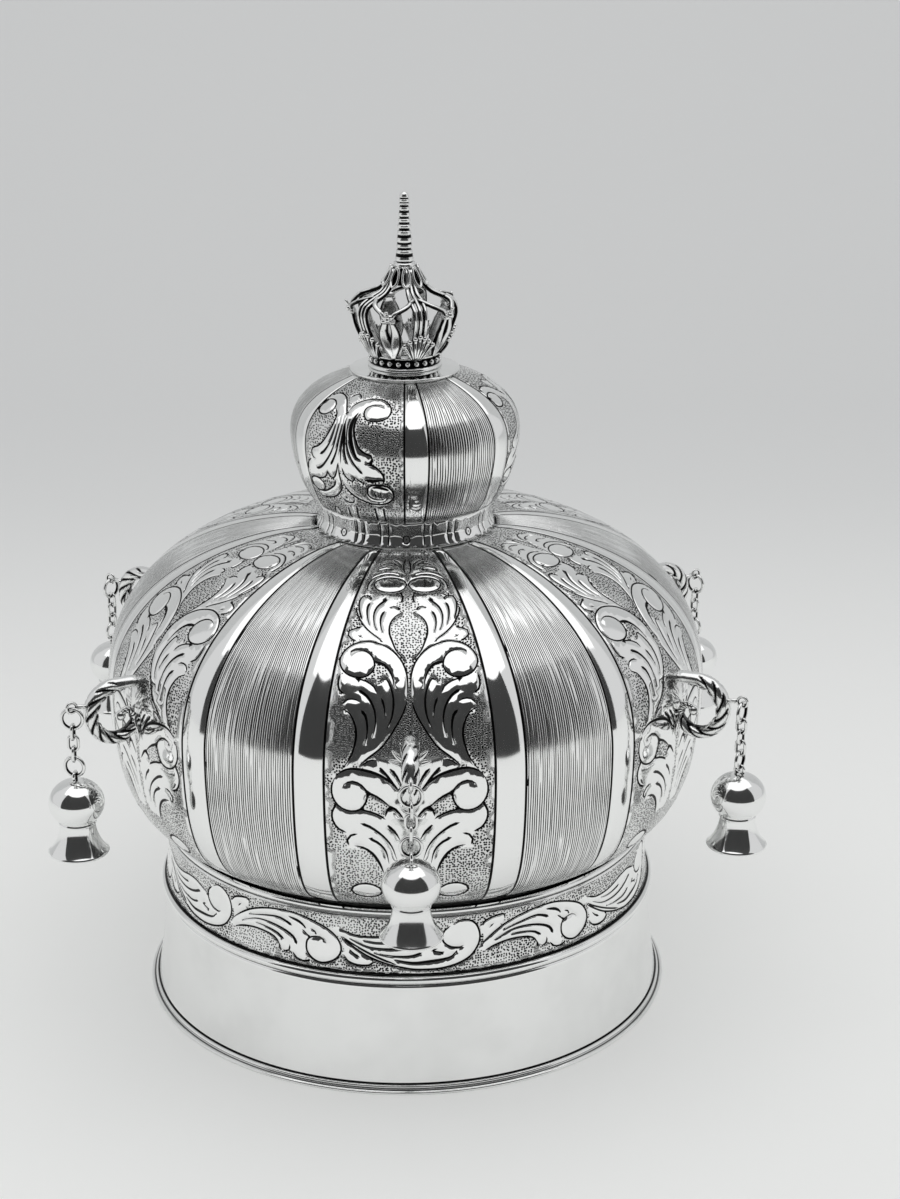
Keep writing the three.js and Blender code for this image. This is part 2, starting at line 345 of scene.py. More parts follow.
def flowing(points, step, reach=(1.0, 1.0)):
    # a smooth line through points, sampled about every step, where reach scales each direction
    points = np.asarray(points, float)
    padded = np.vstack([2 * points[0] - points[1], points, 2 * points[-1] - points[-2]])
    out = []
    for i in range(len(points) - 1):
        p0, p1, p2, p3 = padded[i:i + 4]
        length = np.hypot(*((p2 - p1)[:2] * reach))
        count = max(int(round(length / step)), 1)
        t = np.arange(count)[:, None] / count
        out.append(0.5 * (2 * p1 + (p2 - p0) * t + (2 * p0 - 5 * p1 + 4 * p2 - p3) * t ** 2
                          + (3 * p1 - p0 - 3 * p2 + p3) * t ** 3))
    out.append(points[-1:])
    return np.concatenate(out)


class Wall:
    # the outer side of a turned piece, by share of its length from foot to top
    def __init__(self, profile):
        self.profile = np.asarray(profile, float)
        steps = np.hypot(*np.diff(self.profile, axis=0).T)
        self.length = steps.sum()
        self.share = np.r_[0, np.cumsum(steps)] / self.length
        along = np.gradient(self.profile, self.share, axis=0)
        along /= np.linalg.norm(along, axis=1)[:, None]
        self.outward = np.stack([along[:, 1], -along[:, 0]], 1)

    def radius(self, share):
        return np.interp(share, self.share, self.profile[:, 0])

    def point(self, azimuth, share, lift=0.0):
        radius = self.radius(share) + lift * np.interp(share, self.share, self.outward[:, 0])
        height = np.interp(share, self.share, self.profile[:, 1])
        height = height + lift * np.interp(share, self.share, self.outward[:, 1])
        return around(radius, azimuth, height)

    def perDegree(self, share):
        return self.radius(share) * math.pi / 180

    def flat(self, azimuth, share):
        # millimetres across and up, for patterns that follow the surface
        return np.stack([azimuth * self.perDegree(share), share * self.length], 1)


def taper(kind, t):
    # the share of a cut's full width along its length
    if kind == "even":
        return np.minimum(1, np.minimum(t, 1 - t) / 0.1)
    if kind == "spine":
        return np.minimum(1, t / 0.05) * (1 - t) ** 0.75
    if kind == "swell":
        return np.sin(np.pi * t) ** 0.6
    return np.ones_like(t)  # a closed ring


class Cut:
    # one stroke of the graver: middle line in azimuth and share, half width in millimetres
    def __init__(self, kind, width, points, wall, step):
        reach = (float(wall.perDegree(np.mean([p[1] for p in points]))), wall.length)
        self.closed = kind == "ring"
        self.line = flowing(points, step, reach)
        if self.closed:
            self.line = self.line[:-1]
        count = len(self.line)
        t = np.arange(count) / (count if self.closed else count - 1)
        self.half = width / 2 * taper(kind, t)
        scale = np.stack([wall.perDegree(self.line[:, 1]), np.full(count, wall.length)], 1)
        if self.closed:
            along = (np.roll(self.line, -1, 0) - np.roll(self.line, 1, 0)) * scale
        else:
            along = np.gradient(self.line, axis=0) * scale
        along /= np.linalg.norm(along, axis=1)[:, None] + 1e-9
        side = np.stack([-along[:, 1], along[:, 0]], 1) * self.half[:, None] / scale
        self.left = self.line + side
        self.right = self.line - side


def oval(centre, across, up, count=12):
    angles = np.linspace(0, 2 * math.pi, count + 1)
    return [(centre[0] + across * math.cos(a), centre[1] + up * math.sin(a)) for a in angles]


def inside(points, outline):
    # which points lie within a closed outline
    outline = np.asarray(outline, float)
    x, y = points[:, 0], points[:, 1]
    found = np.zeros(len(points), bool)
    for (x0, y0), (x1, y1) in zip(outline, np.roll(outline, -1, 0)):
        crosses = (y0 > y) != (y1 > y)
        with np.errstate(divide="ignore", invalid="ignore"):
            found ^= crosses & (x < (x1 - x0) * (y - y0) / (y1 - y0) + x0)
    return found


chasing = {
    "stray": 0.3,  # how far loose points stray, share of their spacing
    "borderRoom": 0.6,  # how far they keep from the border, mm
    "cutRoom": 0.45,  # and from a cut's edge
    "narrowest": 0.03,  # half width below which a cut runs out, mm
    "groundSlope": 0.3,  # how soon the ground sinks beside a cut, mm
}


def distances(points, cuts, wall):
    # for each point: the deepest groove that covers it, and how far off the nearest cut's edge is
    least = chasing["narrowest"]
    groove = np.zeros(len(points))
    clear = np.full(len(points), 50.0)
    scale = np.stack([wall.perDegree(points[:, 1]), np.full(len(points), wall.length)], 1)
    for cut in cuts:
        line, half = cut.line, cut.half
        if cut.closed:
            line = np.vstack([line, line[:1]])
            half = np.r_[half, half[:1]]
        start, end = line[:-1], line[1:]
        rel = (points[:, None] - start[None]) * scale[:, None]
        along = (end - start)[None] * scale[:, None]
        t = np.clip((rel * along).sum(2) / ((along ** 2).sum(2) + 1e-12), 0, 1)
        off = np.linalg.norm(rel - t[..., None] * along, axis=2)
        width = half[:-1][None] * (1 - t) + half[1:][None] * t
        clear = np.minimum(clear, (off - width).min(1))
        groove = np.maximum(groove, np.where(width > least, 1 - off / np.maximum(width, least), 0).max(1))
    return groove, clear


def loosePoints(window, cuts, wall, spacing, scale):
    # points over the window that keep clear of its border and of the cuts
    left, right, low, high = window
    across = np.arange(left, right, spacing / scale[0])
    up = np.arange(low, high, spacing / scale[1])
    loose = np.stack(np.meshgrid(across, up), -1).reshape(-1, 2)
    loose = loose + random.uniform(-chasing["stray"], chasing["stray"], loose.shape) * spacing / scale
    room = chasing["borderRoom"] / scale
    within = (loose > np.array([left, low]) + room).all(1) & (loose < np.array([right, high]) - room).all(1)
    loose = loose[within]
    return loose[distances(loose, cuts, wall)[1] > chasing["cutRoom"]]


def meshWindow(window, lines, loose, scale):
    # triangles over the window that keep every line among their edges
    left, right, low, high = window
    spots = []
    edges = []
    for line, closed in lines:
        first = len(spots)
        spots.extend(np.asarray(line, float))
        edges.extend((first + i, first + i + 1) for i in range(len(line) - 1))
        if closed:
            edges.append((first + len(line) - 1, first))
    spots.extend(loose)
    flat = [Vector(p) for p in (np.array(spots) * scale).tolist()]
    found = delaunay_2d_cdt(flat, edges, [], 0, 1e-4)
    points = np.array([tuple(p) for p in found[0]]) / scale
    # the mesher rounds, so points on the border are put back on it
    for column, ends in ((0, (left, right)), (1, (low, high))):
        for end in ends:
            points[np.abs(points[:, column] - end) < 1e-5, column] = end
    faces = np.array(found[2])
    middle = points[faces].mean(1)
    keep = (middle > [left, low]).all(1) & (middle < [right, high]).all(1)
    faces = faces[keep]
    used = np.unique(faces)
    fresh = np.full(len(points), -1)
    fresh[used] = np.arange(len(used))
    return points[used], fresh[faces]


def chase(wall, rows, columns, cuts, leaves, pockets, relief):
    # the surface over a span of azimuths and shares, cut and raised, in azimuth, share and lift
    window = (columns[0], columns[-1], rows[0], rows[-1])
    left, right, low, high = window
    scale = np.array([float(wall.perDegree((low + high) / 2)), wall.length])
    border = [(azimuth, low) for azimuth in columns]
    border += [(right, share) for share in rows[1:]]
    border += [(azimuth, high) for azimuth in columns[-2::-1]]
    border += [(left, share) for share in rows[-2:0:-1]]
    lines = [(border, True)]
    for cut in cuts:
        middle = slice(None) if cut.closed else slice(1, -1)
        lines += [(cut.line, cut.closed), (cut.left[middle], cut.closed), (cut.right[middle], cut.closed)]
    loose = loosePoints(window, cuts, wall, relief["spacing"], scale)
    points, faces = meshWindow(window, lines, loose, scale)
    groove, clear = distances(points, cuts, wall)
    onLeaf = np.zeros(len(points), bool)
    for outline in leaves:
        onLeaf |= inside(points, outline)
    for outline in pockets:
        onLeaf &= ~inside(points, outline)
    clear = np.maximum(clear, 0)
    pillow = relief["pillow"] * (1 - np.exp(-clear / relief["shoulder"]))
    sunk = -relief["sunk"] * (1 - np.exp(-clear / chasing["groundSlope"]))
    lift = np.where(onLeaf, pillow, sunk) - relief["depth"] * groove
    ground = np.where(onLeaf, 0.0, 1.0)
    sides = (np.abs(points[:, 0] - left) < 1e-6) | (np.abs(points[:, 0] - right) < 1e-6)
    rims = (points[:, 1] < low + 1e-9) | (points[:, 1] > high - 1e-9)
    return points, faces, lift, groove, ground, sides, rims


print("tools ready")


# the dome: six leafy panels, six lined ones, and plain strips between them
dome = {
    "panel": 15.1,  # half the width of a leafy panel, degrees
    "strip": 5.7,  # width of a plain strip
    "borderCut": 1.25,  # width of the dark line between panels, mm
    "lines": 40,  # lines in a lined panel
    "lineDepth": 0.14,
    "rows": 62,
    "wall": 1.0,
    "footInset": 3.7,  # from the seat ring's edge
    "footPull": (13.8, 6.3),
    "widest": 125.0,
    "bellyPulls": (41, 48),
    "junction": (33.0, 182.6),
    "topPull": (20, 1.6),
    "settleFrom": 0.62,  # share from which the pattern draws together
    "settleOver": 0.12,
    "settleIn": 0.068,
    "settleDown": 0.013,
    "relief": {"spacing": 2.3, "pillow": 0.16, "shoulder": 2.0, "sunk": 0.12, "depth": 0.4},
}

# left half of a leafy panel: kind of cut, width in mm, middle line as (azimuth, share of the height)
domeCuts = [
    # top scrolls and fan
    ("ring", 0.8, oval((-6.2, 0.848), 5.9, 0.026)),
    ("even", 0.9, [(-2.4, 0.878), (-5.7, 0.886), (-9.0, 0.885), (-11.6, 0.876), (-13.6, 0.862),
                   (-14.2, 0.842), (-13.6, 0.824)]),
    ("spine", 1.1, [(-5.7, 0.905), (-9.0, 0.908), (-11.5, 0.902), (-13.2, 0.89)]),
    ("spine", 1.1, [(-4.0, 0.925), (-7.0, 0.932), (-10.5, 0.93), (-13.4, 0.915)]),
    ("swell", 0.8, [(-2.2, 0.905), (-3.2, 0.93), (-6.5, 0.948), (-10.5, 0.95), (-13.8, 0.938)]),
    ("swell", 0.9, [(-0.5, 0.885), (-1.6, 0.91), (-1.2, 0.945), (0.0, 0.962)]),
    # heart
    ("swell", 1.0, [(-1.0, 0.760), (-3.0, 0.754), (-4.4, 0.739), (-4.9, 0.720), (-4.7, 0.698),
                    (-3.8, 0.676), (-2.9, 0.655), (-1.6, 0.637), (-0.3, 0.620)]),
    # upper leaf
    ("even", 0.8, [(-1.8, 0.765), (-3.0, 0.776), (-4.3, 0.778), (-5.8, 0.775)]),
    ("spine", 1.5, [(-6.6, 0.767), (-7.5, 0.750), (-7.5, 0.731), (-6.9, 0.711), (-6.0, 0.696)]),
    ("swell", 1.1, [(-3.2, 0.820), (-2.0, 0.815), (-1.6, 0.803), (-1.9, 0.793), (-2.8, 0.788)]),
    ("spine", 1.5, [(-5.9, 0.799), (-7.6, 0.791), (-9.1, 0.776), (-9.7, 0.758), (-9.5, 0.739),
                    (-8.6, 0.717), (-7.4, 0.702)]),
    ("even", 0.9, [(-10.9, 0.797), (-12.9, 0.808), (-14.3, 0.806), (-15.0, 0.791), (-14.6, 0.773),
                   (-13.7, 0.754), (-12.3, 0.733)]),
    ("spine", 1.5, [(-11.5, 0.790), (-12.0, 0.773), (-11.7, 0.754), (-10.9, 0.735), (-9.7, 0.713)]),
    ("even", 0.8, [(-15.7, 0.772), (-14.0, 0.746), (-11.9, 0.722), (-9.6, 0.702), (-6.9, 0.683),
                   (-5.6, 0.672)]),
    ("even", 0.8, [(-11.9, 0.711), (-13.5, 0.710), (-15.0, 0.702), (-14.8, 0.689), (-13.7, 0.680),
                   (-12.0, 0.676)]),
    ("spine", 1.4, [(-12.8, 0.693), (-11.8, 0.688), (-10.6, 0.684)]),
    # great scroll
    ("even", 0.9, [(-0.45, 0.545), (-0.35, 0.577), (-0.5, 0.599), (-1.3, 0.622), (-2.6, 0.642),
                   (-4.4, 0.659), (-6.6, 0.670), (-9.2, 0.676), (-11.5, 0.672), (-13.4, 0.661),
                   (-14.5, 0.644), (-14.8, 0.630), (-14.5, 0.614), (-13.5, 0.600), (-12.0, 0.591),
                   (-10.2, 0.588), (-8.6, 0.592), (-7.5, 0.603), (-7.2, 0.618), (-7.9, 0.636),
                   (-9.3, 0.648), (-11.0, 0.652), (-12.6, 0.646), (-13.2, 0.637)]),
    ("spine", 1.9, [(-7.2, 0.624), (-5.3, 0.618), (-3.9, 0.603), (-3.1, 0.582), (-2.9, 0.560)]),
    # leaf under the great scroll
    ("even", 0.8, [(-10.5, 0.586), (-8.6, 0.581), (-6.9, 0.570), (-6.3, 0.556)]),
    ("even", 1.0, [(-14.0, 0.596), (-14.2, 0.577), (-13.7, 0.560), (-12.2, 0.551)]),
    ("even", 0.8, [(-13.0, 0.528), (-11.9, 0.542), (-10.2, 0.543), (-9.1, 0.536)]),
    ("swell", 1.2, [(-12.8, 0.525), (-11.2, 0.515), (-10.1, 0.495), (-9.7, 0.473), (-10.1, 0.446),
                    (-10.9, 0.424), (-12.2, 0.404)]),
    ("spine", 1.7, [(-10.2, 0.564), (-8.2, 0.551), (-6.9, 0.532), (-6.3, 0.510), (-6.4, 0.484),
                    (-7.1, 0.461)]),
    ("spine", 1.7, [(-9.4, 0.525), (-8.2, 0.512), (-7.75, 0.491), (-7.8, 0.469), (-8.4, 0.446)]),
    ("spine", 1.5, [(-5.6, 0.553), (-4.8, 0.532), (-4.4, 0.505)]),
    ("swell", 1.1, [(-6.2, 0.577), (-4.6, 0.587), (-3.3, 0.560), (-3.0, 0.536), (-3.3, 0.510),
                    (-4.3, 0.484)]),
    ("even", 0.9, [(-0.35, 0.547), (-1.1, 0.521), (-2.6, 0.491), (-4.9, 0.454), (-7.25, 0.432),
                   (-9.2, 0.413)]),
    # fan at the arm's foot
    ("even", 0.8, [(-5.9, 0.428), (-7.4, 0.424), (-8.8, 0.412)]),
    ("spine", 1.9, [(-5.6, 0.413), (-3.9, 0.394), (-2.0, 0.366)]),
    ("spine", 1.7, [(-3.6, 0.413), (-2.3, 0.394), (-1.2, 0.37)]),
    # lower scroll
    ("swell", 1.5, [(-13.4, 0.388), (-12.2, 0.400), (-10.5, 0.407), (-7.9, 0.405), (-5.3, 0.396),
                    (-3.3, 0.381), (-1.6, 0.361)]),
    ("even", 1.0, [(-13.2, 0.389), (-13.9, 0.372), (-14.0, 0.353), (-13.4, 0.335), (-12.2, 0.322),
                   (-10.5, 0.317), (-8.9, 0.322), (-7.85, 0.338), (-7.6, 0.357), (-8.6, 0.374),
                   (-10.2, 0.381), (-11.7, 0.374), (-12.3, 0.361)]),
    ("spine", 1.6, [(-7.7, 0.359), (-5.9, 0.351), (-4.3, 0.338), (-3.2, 0.326)]),
    # lower leaf
    ("swell", 1.4, [(-4.4, 0.305), (-4.1, 0.321), (-3.1, 0.328), (-2.0, 0.317), (-1.0, 0.302)]),
    ("spine", 1.8, [(-4.3, 0.290), (-2.8, 0.276), (-1.6, 0.252)]),
    ("even", 1.1, [(-8.9, 0.321), (-6.9, 0.317), (-5.1, 0.308), (-4.1, 0.299)]),
    ("even", 1.1, [(-13.2, 0.330), (-14.0, 0.312), (-13.9, 0.293), (-12.9, 0.276), (-11.2, 0.268)]),
    ("even", 1.1, [(-9.2, 0.268), (-10.7, 0.263), (-11.4, 0.252), (-11.0, 0.237)]),
    ("swell", 1.5, [(-10.4, 0.240), (-8.6, 0.237), (-6.9, 0.224), (-5.6, 0.200), (-4.8, 0.172)]),
    ("spine", 1.7, [(-9.2, 0.292), (-7.25, 0.285), (-4.9, 0.265), (-3.3, 0.241), (-2.3, 0.205)]),
    ("spine", 1.7, [(-7.8, 0.260), (-5.9, 0.250), (-4.4, 0.230), (-3.8, 0.196)]),
    ("ring", 1.2, oval((-8.4, 0.120), 3.0, 0.0235)),
]

# closed outlines of what stands above the matted ground, left half
domeLeaves = [
    [(-0.2, 0.835), (-0.3, 0.862), (-1.2, 0.885), (-2.0, 0.93), (0, 0.965), (0, 0.95), (-3.2, 0.95),
     (-8.0, 0.953), (-13.8, 0.938), (-13.6, 0.90), (-14.2, 0.86), (-13.6, 0.824), (-12.2, 0.85),
     (-10.0, 0.828), (-6.2, 0.822), (-2.4, 0.828)],
    [(-1.6, 0.637), (-2.9, 0.655), (-3.8, 0.676), (-4.7, 0.698), (-4.9, 0.720), (-4.4, 0.739),
     (-3.0, 0.754), (-1.8, 0.765), (-3.0, 0.776), (-2.8, 0.788), (-1.9, 0.793), (-1.6, 0.803),
     (-2.0, 0.815), (-3.2, 0.820), (-7.5, 0.815), (-10.9, 0.797), (-12.9, 0.808), (-14.3, 0.806),
     (-15.0, 0.791), (-14.6, 0.773), (-13.0, 0.738), (-11.9, 0.722), (-11.9, 0.711), (-13.5, 0.710),
     (-15.0, 0.702), (-14.8, 0.689), (-13.7, 0.680), (-12.0, 0.676), (-6.6, 0.670)],
    [(-0.45, 0.545), (-0.35, 0.577), (-0.5, 0.599), (-1.3, 0.622), (-2.6, 0.642), (-4.4, 0.659),
     (-6.6, 0.670), (-9.2, 0.676), (-11.5, 0.672), (-13.4, 0.661), (-14.5, 0.644), (-14.8, 0.630),
     (-14.5, 0.614), (-13.7, 0.602), (-14.2, 0.577), (-13.7, 0.560), (-12.2, 0.551), (-12.8, 0.526),
     (-11.2, 0.515), (-10.1, 0.495), (-9.7, 0.473), (-10.1, 0.446), (-10.9, 0.424), (-12.2, 0.404),
     (-9.2, 0.413), (-7.25, 0.432), (-4.9, 0.454), (-2.6, 0.491), (-1.1, 0.521)],
    [(-8.8, 0.412), (-7.4, 0.424), (-5.9, 0.428), (-3.0, 0.44), (0, 0.46), (0, 0.35), (-1.6, 0.361),
     (-5.3, 0.396), (-7.9, 0.405)],
    [(-13.4, 0.388), (-12.2, 0.400), (-10.5, 0.407), (-7.9, 0.405), (-5.3, 0.396), (-3.3, 0.381),
     (-1.6, 0.361), (0, 0.34), (0, 0.2), (-2.3, 0.18), (-4.8, 0.172), (-5.6, 0.200), (-6.9, 0.224),
     (-8.6, 0.237), (-11.0, 0.237), (-11.4, 0.252), (-10.7, 0.263), (-11.2, 0.268), (-12.9, 0.276),
     (-13.9, 0.293), (-14.0, 0.312), (-13.2, 0.330), (-14.0, 0.353), (-13.9, 0.372)],
    oval((-8.4, 0.120), 3.0, 0.0235),
]

# matted places between the leaves, left half
domePockets = [
    [(-7.3, 0.622), (-5.3, 0.618), (-3.9, 0.603), (-4.6, 0.587), (-6.2, 0.577), (-8.6, 0.583),
     (-10.2, 0.587), (-8.6, 0.592), (-7.5, 0.603)],
    [(-7.6, 0.357), (-5.9, 0.351), (-4.3, 0.338), (-3.1, 0.328), (-4.1, 0.321), (-4.4, 0.305),
     (-5.1, 0.308), (-6.9, 0.317), (-8.9, 0.321), (-7.85, 0.338)],
]


def settled(points):
    # the pattern draws together towards the top
    out = []
    for azimuth, share in points:
        pull = min(max((share - dome["settleFrom"]) / dome["settleOver"], 0), 1)
        out.append((azimuth * (1 - dome["settleIn"] * pull), share - dome["settleDown"] * pull))
    return out


def domeWall():
    radius, low, _ = span("dome")
    foot = span("seat_ring")[0] - dome["footInset"]
    widest = (radius, dome["widest"])
    below, above = dome["bellyPulls"]
    outPull, upPull = dome["footPull"]
    lower = cubic((foot, low), (foot + outPull, low + upPull), (radius, widest[1] - below), widest, 60)
    top = dome["junction"]
    outPull, upPull = dome["topPull"]
    upper = cubic(widest, (radius, widest[1] + above), (top[0] + outPull, top[1] + upPull), top, 60)
    return Wall(np.vstack([lower, upper[1:]]))


def borderHalf(wall, share, width):
    return width / 2 / wall.perDegree(share)


def leafyPanel(wall, rows):
    # both halves of one dome panel, with its middle at azimuth 0
    half = dome["panel"]
    cuts = [Cut(kind, width, settled(points), wall, 1.7) for kind, width, points in domeCuts]
    leaves = [settled(outline) for outline in domeLeaves]
    pockets = [settled(outline) for outline in domePockets]
    points, faces, lift, groove, ground, _, rims = chase(
        wall, rows, np.linspace(-half, 0, 11), cuts, leaves, pockets, dome["relief"])
    onBorder = points[:, 0] < 1e-6 - half
    lift = np.where(onBorder | rims, 0.0, lift)
    narrowed = points[:, 0] / half * (half - borderHalf(wall, points[:, 1], dome["borderCut"]))
    panel = Sheet()
    for side in (1, -1):
        placed = wall.point(narrowed * side, points[:, 1], lift)
        flat = wall.flat(narrowed * side, points[:, 1])
        panel.add(placed, faces if side > 0 else faces[:, ::-1], groove, ground, flat)
    return panel


def slowNoise(rows, columns, reach):
    # random values that change slowly down each column, from about -1 to 1
    knots = random.normal(0, 1, (max(rows // reach, 3), columns))
    spots = np.linspace(0, len(knots) - 1, rows)
    return np.stack([np.interp(spots, np.arange(len(knots)), knots[:, j]) for j in range(columns)], 1)


lining = {
    "section": (0.22, 0.5, 0.78),  # a line's shoulder, bottom and shoulder, share of the pitch
    "ownDrift": 0.09,  # how far a line strays on its own, share of the pitch
    "sharedDrift": 0.12,  # and together with its neighbours
    "mostDrift": 0.22,
    "fade": 0.02,  # share of the wall in which lines run out at foot and top
    "strength": (0.9, 0.35, 0.3),  # even, own and shared part of a line's depth
    "ground": 0.2,  # brushed, not matted
}


def linedPanel(wall, shares, first, last, lines, cutWidth, depth):
    # long wavering lines from foot to top, each a narrow groove between two flat stretches
    edge = borderHalf(wall, shares, cutWidth)
    spots = np.r_[0, (np.arange(lines)[:, None] + lining["section"]).ravel() / lines, 1]
    height, count = len(shares), len(spots)
    azimuth = (first + edge)[:, None] + spots[None] * (last - first - 2 * edge)[:, None]
    pitch = (last - first) / lines
    inner = np.ones(count)
    inner[[0, -1]] = 0
    ends = np.minimum(1, np.minimum(shares, 1 - shares) / lining["fade"])[:, None]
    perLine = np.repeat(slowNoise(height, lines, 5), 3, 1)
    drift = np.pad(perLine, ((0, 0), (1, 1))) * lining["ownDrift"]
    drift = drift + slowNoise(height, 1, 4) * lining["sharedDrift"]
    azimuth = azimuth + np.clip(drift, -lining["mostDrift"], lining["mostDrift"]) * pitch * inner * ends
    even, own, shared = lining["strength"]
    strength = even + own * slowNoise(height, count, 3) + shared * slowNoise(height, 1, 4)
    bottoms = (np.arange(count) % 3 == 2).astype(float)
    groove = bottoms[None] * np.clip(strength, 0.15, 1.3) * np.minimum(1, ends * 2)
    share = np.repeat(shares[:, None], count, 1).ravel()
    lift = (-groove * depth * ends).ravel()
    panel = Sheet()
    brushed = np.full(groove.size, lining["ground"])
    panel.add(wall.point(azimuth.ravel(), share, lift), gridFaces(height, count), groove.ravel(), brushed)
    return panel


darkLine = {"depth": 0.45, "fade": 0.01}  # depth in mm, and the share in which it runs out at both ends


def columnSheet(wall, shares, azimuths, dark, reverse=False):
    # columns of points from foot to top, sunk where they are dark
    share = np.repeat(shares[:, None], azimuths.shape[1], 1)
    ends = np.minimum(1, np.minimum(shares, 1 - shares) / darkLine["fade"])[:, None]
    points = wall.point(azimuths.ravel(), share.ravel(), (-darkLine["depth"] * dark * ends).ravel())
    faces = gridFaces(len(shares), azimuths.shape[1])
    panel = Sheet()
    panel.add(points, [face[::-1] for face in faces] if reverse else faces, dark.ravel())
    return panel


def plainStrip(wall, shares, first, last, cutWidth, steps=2):
    # a plain strip with half of a dark line along each side
    edge = borderHalf(wall, shares, cutWidth)
    inner = [first + edge + (last - first - 2 * edge) * k / steps for k in range(steps + 1)]
    azimuths = np.stack([np.full(len(shares), first), *inner, np.full(len(shares), last)], 1)
    dark = np.zeros(azimuths.shape)
    dark[:, [0, -1]] = 1
    return columnSheet(wall, shares, azimuths, dark)


def halfBorder(wall, shares, middle, side, cutWidth):
    # the other half of a dark line, next to a panel
    edge = borderHalf(wall, shares, cutWidth)
    azimuths = np.stack([np.full(len(shares), middle), middle + side * edge], 1)
    dark = np.repeat([[1.0, 0.0]], len(shares), 0)
    return columnSheet(wall, shares, azimuths, dark, side < 0)


def rim(points, height):
    # azimuths in degrees of the points at a height, in order
    level = points[np.abs(points[:, 2] - height) < 1e-6]
    azimuths = np.sort((np.degrees(np.arctan2(level[:, 0], -level[:, 1])) + 0.001) % 360 - 0.001)
    return azimuths[np.r_[True, np.diff(azimuths) > 0.002]]


def closeInside(sheet, wall, thickness, count=12):
    # the inner side of a shell, joined to both rims of the outer side
    points = np.concatenate(sheet.points)
    low = rim(points, wall.profile[0, 1])
    high = rim(points, wall.profile[-1, 1])
    rings = [wall.point(low, np.zeros(len(low)))]
    for share in np.linspace(0, 1, count):
        level = wall.point(low + (high - low) * share, np.full(len(low), share), -thickness)
        if share in (0, 1):
            level[:, 2] = wall.profile[-int(share), 1]
        rings.append(level)
    rings.append(wall.point(high, np.ones(len(high))))
    sheet.add(np.concatenate(rings), [face[::-1] for face in gridFaces(len(rings), len(low), True)])


def makeDome():
    wall = domeWall()
    shares = np.linspace(0, 1, dome["rows"])
    half = dome["panel"]
    stripEnd = half + dome["strip"]
    cutWidth = dome["borderCut"]
    repeat = Sheet()
    repeat.join(leafyPanel(wall, shares))
    for first, last in ((half, stripEnd), (60 - stripEnd, 60 - half)):
        repeat.join(plainStrip(wall, shares, first, last, cutWidth))
    for middle, side in ((half, -1), (-half, 1), (stripEnd, 1), (60 - stripEnd, -1)):
        repeat.join(halfBorder(wall, shares, middle, side, cutWidth))
    repeat.join(linedPanel(wall, shares, stripEnd, 60 - stripEnd, dome["lines"], cutWidth, dome["lineDepth"]))
    whole = Sheet()
    for k in range(6):
        whole.join(repeat, 60 * k)
    closeInside(whole, wall, dome["wall"])
    whole.finish("domeShell", "dome", "engraved_silver")


makeDome()
print("dome made")


# the bulb: three leafy and three lined panels over a hollow-curved neck
neck = {
    "foot": 33.2,
    "footPull": (0.8, 1.4),
    "throat": (31.4, 187.0),
    "throatPulls": (1.8, 2.5),
    "top": (32.4, 192.2),
    "topPull": (0.3, 2),
    "parts": 8,
    "rows": 7,
    "uprights": (11.5, 16.9),  # azimuths of the upright lines in a part
    "relief": {"spacing": 1.7, "pillow": 0.0, "shoulder": 1.0, "sunk": 0.0, "depth": 0.3},
}

bulb = {
    "footPull": (4.8, 2.4),
    "widest": 218.0,
    "bellyPulls": (9, 10.7),
    "top": 19.4,
    "topPull": (15.4, 4.9),
    "rows": 40,
    "wall": 1.0,
    "leafy": (-59.0, -1.0),  # azimuths of a leafy panel
    "sideRoom": 0.35,  # how far its cuts keep from its sides, degrees
    "strip": 12.0,
    "lines": 27,
    "lineDepth": 0.13,
    "borderCut": 1.0,
    "relief": {"spacing": 1.7, "pillow": 0.14, "shoulder": 1.4, "sunk": 0.1, "depth": 0.34},
}

